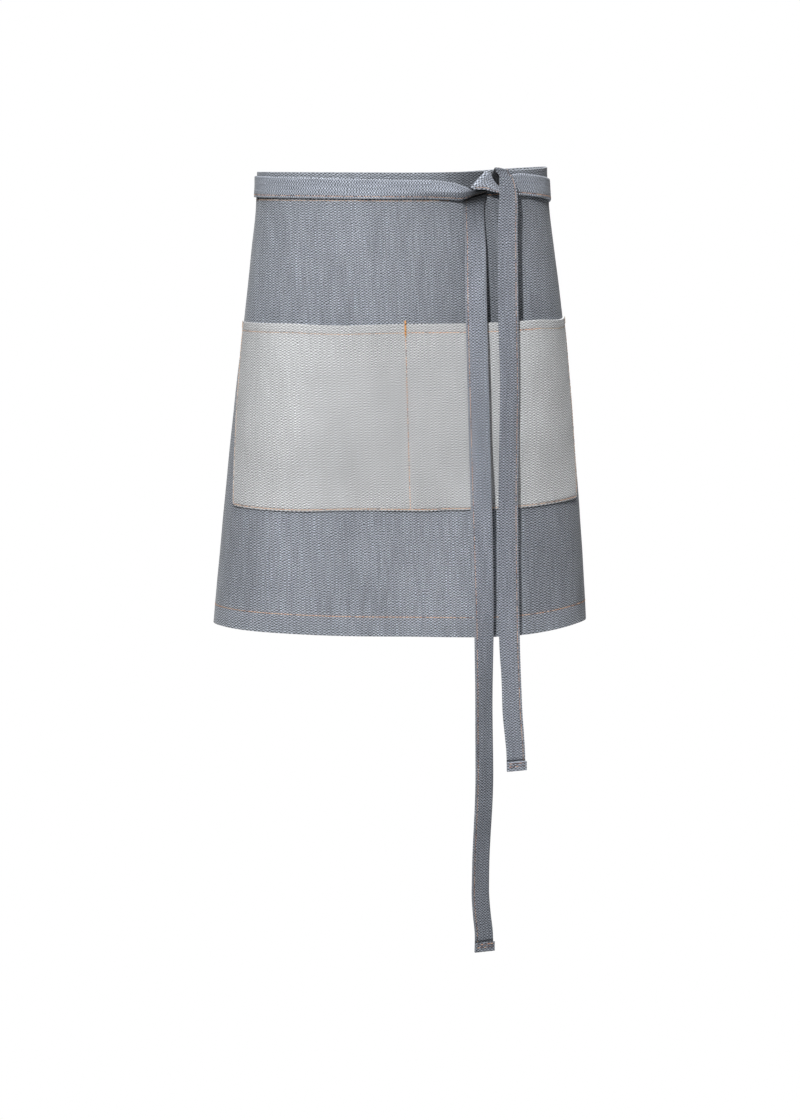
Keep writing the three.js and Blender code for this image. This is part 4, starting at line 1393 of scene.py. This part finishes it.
# %% Node helpers
class Recipe:
    """A material's node tree, with short ways to add nodes to it."""

    def __init__(self, name):
        self.material = bpy.data.materials.new(name)
        self.material.use_nodes = True
        self.tree = self.material.node_tree
        self.shader = self.tree.nodes["Principled BSDF"]

    def node(self, kind, **settings):
        node = self.tree.nodes.new(kind)
        for key, value in settings.items():
            setattr(node, key, value)
        return node

    def put(self, value, socket):
        if isinstance(value, bpy.types.NodeSocket):
            self.tree.links.new(value, socket)
        else:
            socket.default_value = value

    def maths(self, operation, *values):
        node = self.node("ShaderNodeMath", operation=operation)
        for value, socket in zip(values, node.inputs):
            self.put(value, socket)
        return node.outputs[0]

    def vector(self, x, y, z=0.0):
        node = self.node("ShaderNodeCombineXYZ")
        for value, socket in zip((x, y, z), node.inputs):
            self.put(value, socket)
        return node.outputs[0]

    def chance(self, place):
        node = self.node("ShaderNodeTexWhiteNoise", noise_dimensions="3D")
        self.put(place, node.inputs["Vector"])
        return node.outputs["Value"]

    def mix(self, share, first, second, blend="MIX"):
        node = self.node("ShaderNodeMix", data_type="RGBA", blend_type=blend)
        self.put(share, node.inputs[0])
        self.put(first, node.inputs[6])
        self.put(second, node.inputs[7])
        return node.outputs[2]

    def remap(self, value, low, high, new_low, new_high):
        node = self.node("ShaderNodeMapRange")
        for item, socket in zip((value, low, high, new_low, new_high), node.inputs):
            self.put(item, socket)
        return node.outputs[0]

    def patchy(self, x, y, x_scale, y_scale, seed=0.0, detail=1.0):
        """Noise on the cloth that has its own scale in each direction."""
        x, y = self.maths("MULTIPLY", x, x_scale), self.maths("MULTIPLY", y, y_scale)
        node = self.node("ShaderNodeTexNoise")
        self.put(self.vector(x, y, seed), node.inputs["Vector"])
        node.inputs["Scale"].default_value = 1.0
        node.inputs["Detail"].default_value = detail
        return node.outputs["Fac"]

    def around_one(self, value, spread, margin=0.3):
        """Turns noise, which stays near 0.5, into factors that stay near 1."""
        return self.remap(value, margin, 1 - margin, 1 - spread, 1 + spread)

    def attribute(self, name, output="Fac"):
        return self.node("ShaderNodeAttribute", attribute_name=name).outputs[output]

    def cloth_place(self):
        """The place on the cloth in metres: across and down."""
        split = self.node("ShaderNodeSeparateXYZ")
        self.put(self.attribute("cloth", "Vector"), split.inputs[0])
        return split.outputs[0], split.outputs[1]

    def complete(self, colour, tone, height, strength, distance, surface):
        """Connects a toned colour and a relief, and sets the surface's own values."""
        toned = self.mix(1.0, colour, self.vector(tone, tone, tone), "MULTIPLY")
        self.put(toned, self.shader.inputs["Base Color"])
        bump = self.node("ShaderNodeBump")
        bump.inputs["Strength"].default_value = strength
        bump.inputs["Distance"].default_value = distance * MM
        self.put(height, bump.inputs["Height"])
        self.put(bump.outputs[0], self.shader.inputs["Normal"])
        self.settle(surface)
        return self.material

    def settle(self, surface):
        for name, value in surface.items():
            self.shader.inputs[name].default_value = value


def srgb(red, green, blue):
    """The linear colour that Blender uses, from one as it looks on a screen, 0 to 255."""

    def linear(value):
        value /= 255
        return value / 12.92 if value <= 0.04045 else ((value + 0.055) / 1.055) ** 2.4

    return (linear(red), linear(green), linear(blue), 1.0)


print("mid grey in linear light:", round(srgb(128, 128, 128)[0], 3))

# %% [markdown]
# From a few steps away single yarns are too fine to see. What stays is a pattern of light and
# dark specks, a few yarns wide, in columns that run down the cloth. Plain noise would look like
# dirt and a regular grid like a net, so the specks have an even size, but each column wanders
# up and down on its own, and faint noise and streaks are laid over them. Towards the sides,
# where the cloth turns away and narrow specks would blur, they are drawn up to 1.4 times as wide.
# On rubbed edges they fade.

# %% Specks
PANEL_SPECKS, TIE_SPECKS = (3.87, 2.65), (3.7, 2.8)
SPECK_BEND, SPECK_SHRINK = 110.0, 0.3
# Noise on the cloth: (scale across, scale down, seed)
DRIFT_NOISE, WANDER_NOISE = (0.11, 0.11, 5.0), (7.31, 0.1, 6.0)
STREAK_NOISE, GRAIN_NOISE = (0.9, 0.035, 8.0), (0.95, 0.8, 7.0)
DRIFT, WANDER, GRAIN, FULLER, PALE_MORE, DARKEST = 3.0, 4.5, 1.6, 0.35, 0.18, 0.12


def speck_tone(recipe, across, down, pitches, strength, streak):
    """Light and dark specks in columns, as factors near 1."""
    maths = recipe.maths
    bent = maths("TANH", maths("DIVIDE", across, SPECK_BEND))
    bend = maths("MULTIPLY", bent, SPECK_BEND * SPECK_SHRINK)
    across = maths("ADD", maths("MULTIPLY", across, 1 - SPECK_SHRINK), bend)
    drift = maths("MULTIPLY", recipe.patchy(across, down, *DRIFT_NOISE), DRIFT)
    turn = maths("ADD", maths("MULTIPLY", across, 2 * math.pi / pitches[0]), drift)
    column = maths("FLOOR", maths("DIVIDE", turn, math.pi))
    wander = maths("MULTIPLY", recipe.patchy(column, down, *WANDER_NOISE), WANDER)
    phase = maths("ADD", wander, drift)
    below = maths("SINE", maths("ADD", maths("MULTIPLY", down, 2 * math.pi / pitches[1]), phase))
    beside = maths("ADD", maths("SINE", turn), PALE_MORE)
    streaks = recipe.patchy(across, down, *STREAK_NOISE)
    fuller = recipe.around_one(streaks, FULLER)
    lattice = maths("MULTIPLY", maths("MULTIPLY", beside, below), fuller)
    grain = maths("SUBTRACT", recipe.patchy(across, down, *GRAIN_NOISE), 0.5)
    speck = maths("ADD", lattice, maths("MULTIPLY", grain, GRAIN))
    tone = maths("MAXIMUM", maths("ADD", maths("MULTIPLY", speck, strength), 1.0), DARKEST)
    return maths("MULTIPLY", tone, recipe.around_one(streaks, 0.8 * streak))


print(f"specks of the panel: {PANEL_SPECKS[0] / 2:.1f} mm by {PANEL_SPECKS[1] / 2:.1f} mm")

# %% The denim recipe
WARP_PITCH, WEFT_PITCH = 0.353, 0.526
# The colours of the warp and of the weft
FACE_YARNS = (srgb(128, 134, 144), srgb(176, 180, 185))
REVERSE_YARNS = (srgb(146, 149, 153), srgb(192, 193, 194))
TIE_YARNS = (srgb(128, 134, 146), srgb(178, 182, 188))
# Noise on the cloth: (scale across, scale down, seed, detail)
SLUB_NOISE, YARN_NOISE = (0.66, 0.024, 0.0, 2.0), (17.31, 0.075, 0.0, 2.0)
BAND_NOISE, CLOUD_NOISE = (0.085, 0.010, 3.0, 2.0), (0.022, 0.022, 9.0, 3.0)
FLECK, CLOUD, BORDER_BLUR, REVERSE_SPECKS = 0.04, 0.04, 0.05, 0.5
WORN_PALE, WORN_SMOOTH = 0.35, 3.0
# Strength of the relief, and how high it is in millimetres
DENIM_RELIEF = (0.3, 0.12)
DENIM_SURFACE = {
    "Roughness": 0.88, "Specular IOR Level": 0.18, "Sheen Weight": 0.12, "Sheen Roughness": 0.5,
}


def denim(name, yarns, pale_share, streak, specks, pitches=PANEL_SPECKS, lean=1.0):
    """Twill with a share of its weft on top: 0.25 on the face of denim, 0.75 on its reverse."""
    recipe = Recipe(name)
    maths = recipe.maths
    turned, wear = recipe.attribute("turned"), recipe.attribute("wear")
    warp, weft = (recipe.mix(turned, *both) for both in zip(yarns, REVERSE_YARNS))
    across, down = (maths("DIVIDE", length, MM) for length in recipe.cloth_place())

    ends = maths("DIVIDE", across, WARP_PITCH)
    end = maths("FLOOR", ends)
    picks = maths("ADD", maths("DIVIDE", down, WEFT_PITCH), maths("MULTIPLY", end, lean))
    floats = maths("DIVIDE", picks, 4.0)
    place_in_float = maths("FRACT", floats)
    off_middle = maths("ABSOLUTE", maths("SUBTRACT", place_in_float, 0.5))
    border = maths("SUBTRACT", 0.5 - pale_share / 2, maths("MULTIPLY", turned, 0.25))
    borders = (maths(side, border, BORDER_BLUR) for side in ("SUBTRACT", "ADD"))
    pale = recipe.remap(off_middle, *borders, 0.0, 1.0)
    yarn = recipe.mix(pale, warp, weft)
    rubbed = recipe.mix(maths("MULTIPLY", wear, WORN_PALE), yarn, weft)

    slub = recipe.patchy(across, down, *SLUB_NOISE)
    specks = maths("SUBTRACT", specks, maths("MULTIPLY", turned, REVERSE_SPECKS))
    unworn = maths("SUBTRACT", 1.0, maths("POWER", wear, WORN_SMOOTH))
    specks = maths("MULTIPLY", specks, unworn)
    # The tone starts from the painted light and shade of the attribute, and the yarns' own tones
    # multiply it
    tone = recipe.attribute("tone")
    for factor in (
        recipe.around_one(recipe.chance(recipe.vector(end, maths("FLOOR", floats))), FLECK, 0.0),
        recipe.around_one(recipe.patchy(end, down, *YARN_NOISE), streak, 0.25),
        recipe.around_one(slub, 1.3 * streak),
        recipe.around_one(recipe.patchy(across, down, *BAND_NOISE), 0.7 * streak),
        recipe.around_one(recipe.patchy(across, down, *CLOUD_NOISE), CLOUD),
        speck_tone(recipe, across, down, pitches, specks, streak),
    ):
        tone = maths("MULTIPLY", tone, factor)

    rounded = maths("SINE", maths("MULTIPLY", maths("FRACT", ends), math.pi))
    swell = maths("SINE", maths("MULTIPLY", place_in_float, math.pi))
    relief = maths("ADD", maths("MULTIPLY", rounded, swell), maths("MULTIPLY", slub, 0.8))
    return recipe.complete(rubbed, tone, relief, *DENIM_RELIEF, DENIM_SURFACE)


face_denim = denim("face_denim", FACE_YARNS, 0.25, 0.11, 1.12)
reverse_denim = denim("reverse_denim", REVERSE_YARNS, 0.75, 0.04, 0.6, lean=-1.0)
tie_denim = denim("tie_denim", TIE_YARNS, 0.25, 0.1, 1.05, TIE_SPECKS)
print("yarns in 10 mm:", round(10 / WARP_PITCH), "lengthwise,", round(10 / WEFT_PITCH), "crosswise")

# %% [markdown]
# Sewing thread is a fine twisted cord. Its twist shows as fine ridges, and no two stitches are
# rubbed quite alike, so each one gets its own tone from its number in the seam. Some look like
# dark dots, because the needle pulled them into their holes.

# %% The thread
# A hair more than one for each shift, so that rounding can't take a stitch for the one before it
STITCHES_PER_METRE, TWISTS = 1.0001 / (STITCH_SHIFT * MM), 9000.0
FADED_THREAD = srgb(196, 190, 180)
THREAD_RELIEF, THREAD_SURFACE = (0.4, 0.08), {"Roughness": 0.55, "Sheen Weight": 0.2}


def thread(name, colours, dark_share):
    """Sewing thread from one colour to a paler one, with some dark stitches sunk in their holes."""
    recipe = Recipe(name)
    dark, colour, pale_colour = (srgb(*levels) for levels in colours)
    shift, along = recipe.cloth_place()
    stitch = recipe.maths("FLOOR", recipe.maths("MULTIPLY", shift, STITCHES_PER_METRE))
    own = recipe.mix(recipe.chance(recipe.vector(stitch, 1.0)), colour, pale_colour)
    in_hole = recipe.maths("LESS_THAN", recipe.chance(recipe.vector(stitch, 2.0)), dark_share)
    faded = recipe.mix(recipe.attribute("wear"), recipe.mix(in_hole, own, dark), FADED_THREAD)
    twist = recipe.maths("SINE", recipe.maths("MULTIPLY", along, TWISTS))
    # The tone attribute paints light and shade onto the thread
    return recipe.complete(faded, recipe.attribute("tone"), twist, *THREAD_RELIEF, THREAD_SURFACE)


tan_thread = thread("tan_thread", ((120, 74, 52), (220, 156, 112), (246, 210, 180)), 0.16)
tie_thread = thread("tie_thread", ((92, 58, 48), (190, 124, 84), (238, 206, 180)), 0.3)
tack_thread = thread("tack_thread", ((120, 70, 40), (226, 150, 66), (246, 190, 116)), 0.12)
print("threads:", [material.name for material in (tan_thread, tie_thread, tack_thread)])

# %% [markdown]
# ## Dressing the pieces
#
# Each piece now gets its finish, moves with the body that it is attached to, and hides the
# solid that it stands for.

# %% Finishes and what each piece is
def dress(piece, material, node=None):
    piece.data.materials.append(material)
    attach(piece, "root")
    if node:
        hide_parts(node)
    return piece


dress(front_panel, face_denim, "front_panel")
dress(patch_pocket, reverse_denim, "patch_pocket")
dress(short_end_tie, tie_denim, "short_end_tie")
dress(long_end_tie, tie_denim, "long_end_tie")
for tip in tips:
    dress(tip, tie_denim)
for seams in (panel_stitching, pocket_stitching):
    dress(seams, tan_thread)
for seams in tie_stitching:
    dress(seams, tie_thread)
dress(bar_tacks, tack_thread)

meshes = sorted(piece.name for piece in collection.objects if piece.type == "MESH")
print("meshes in the scene:", meshes)

# %% [markdown]
# ## The studio
#
# The photograph is a product shot on pure white. Its light comes mostly from above and grades
# softly round the form, but thin dark shadows lie beside the hanging ends, which only a small
# lamp can throw. So a small light stands high at the front left and a large, weak one fills in
# below it, and a broad one behind is there for the views of the back. The surroundings are a
# world that is white where the camera sees it and lights the cloth from its ceiling alone. A
# white world all round would be simpler, but it washes out every fold.

# %% Floor, lights and surroundings
bpy.ops.mesh.primitive_circle_add(vertices=96, radius=1.5, fill_type="NGON", location=(0, 0, -1.5))
floor = bpy.context.object
floor.name = "studio_floor"
floor_recipe = Recipe("pale_floor")
pale = (0.93, 0.93, 0.93, 1)
floor_recipe.settle({"Base Color": pale, "Roughness": 0.9, "Specular IOR Level": 0.1})
floor.data.materials.append(floor_recipe.material)


def area_light(name, place, target, size, watts):
    lamp = bpy.data.lights.new(name, "AREA")
    lamp.shape = "RECTANGLE"
    lamp.size, lamp.size_y = size
    lamp.energy = watts
    light = bpy.data.objects.new(name, lamp)
    collection.objects.link(light)
    light.location = place
    light.rotation_mode = "QUATERNION"
    light.rotation_quaternion = (Vector(target) - Vector(place)).to_track_quat("-Z", "Y")


area_light("key_light", (-0.62, -2.7, 1.9), (0, 0, -0.25), (0.15, 0.15), 105)
area_light("soft_light", (-0.6, -3.5, 1.4), (0, 0, -0.3), (1.3, 1.2), 11)
area_light("back_light", (0.7, 3.4, 1.5), (0, 0, -0.25), (1.6, 1.6), 90)

# %% A world with a bright ceiling
# From and to which height of the sky it grows brighter, and how bright it is below and above
CEILING = (0.90, 0.95, 0.02, 6.5)
world = bpy.data.worlds.new("studio_world")
world.use_nodes = True
bpy.context.scene.world = world
tree = world.node_tree
direction = tree.nodes.new("ShaderNodeTexCoord")
split = tree.nodes.new("ShaderNodeSeparateXYZ")
tree.links.new(direction.outputs["Generated"], split.inputs[0])
ceiling = tree.nodes.new("ShaderNodeMapRange")
tree.links.new(split.outputs[2], ceiling.inputs[0])
for socket, value in zip(ceiling.inputs[1:5], CEILING):
    socket.default_value = value
path = tree.nodes.new("ShaderNodeLightPath")
seen = tree.nodes.new("ShaderNodeMix")
tree.links.new(path.outputs["Is Camera Ray"], seen.inputs[0])
tree.links.new(ceiling.outputs[0], seen.inputs[2])
seen.inputs[3].default_value = 1.0
tree.links.new(seen.outputs[0], tree.nodes["Background"].inputs["Strength"])
tree.nodes["Background"].inputs["Color"].default_value = (1, 1, 1, 1)
print("brightness of the world's ceiling:", CEILING[-1])

# %% [markdown]
# ## The camera
#
# The photograph was taken from far away with a long lens, at the height of the ties, and looks
# down a little. The lens length follows from the height of the picture, 1120 pixels, and from
# how large the apron appears in it.

# %% Camera
PICTURE_HEIGHT, FOCAL_PIXELS, SENSOR = 1120, 3749.67, 36.0
CAMERA_PLACE, AIM_HEIGHT = (-0.0024, -3.9, 0.02), -0.3886826
camera_data = bpy.data.cameras.new("camera")
camera_data.sensor_fit = "AUTO"
camera_data.sensor_width = SENSOR
camera_data.lens = FOCAL_PIXELS * SENSOR / PICTURE_HEIGHT
camera = bpy.data.objects.new("camera", camera_data)
collection.objects.link(camera)
camera.location = CAMERA_PLACE
pitch = math.atan((CAMERA_PLACE[2] - AIM_HEIGHT) / -CAMERA_PLACE[1])
camera.rotation_euler = (math.pi / 2 - pitch, 0, 0)
camera_data.clip_start, camera_data.clip_end = 0.1, 60
bpy.context.scene.camera = camera
bpy.context.scene.view_settings.view_transform = "Standard"
print(f"lens {camera_data.lens:.1f} mm, looking down {math.degrees(pitch):.2f} degrees")
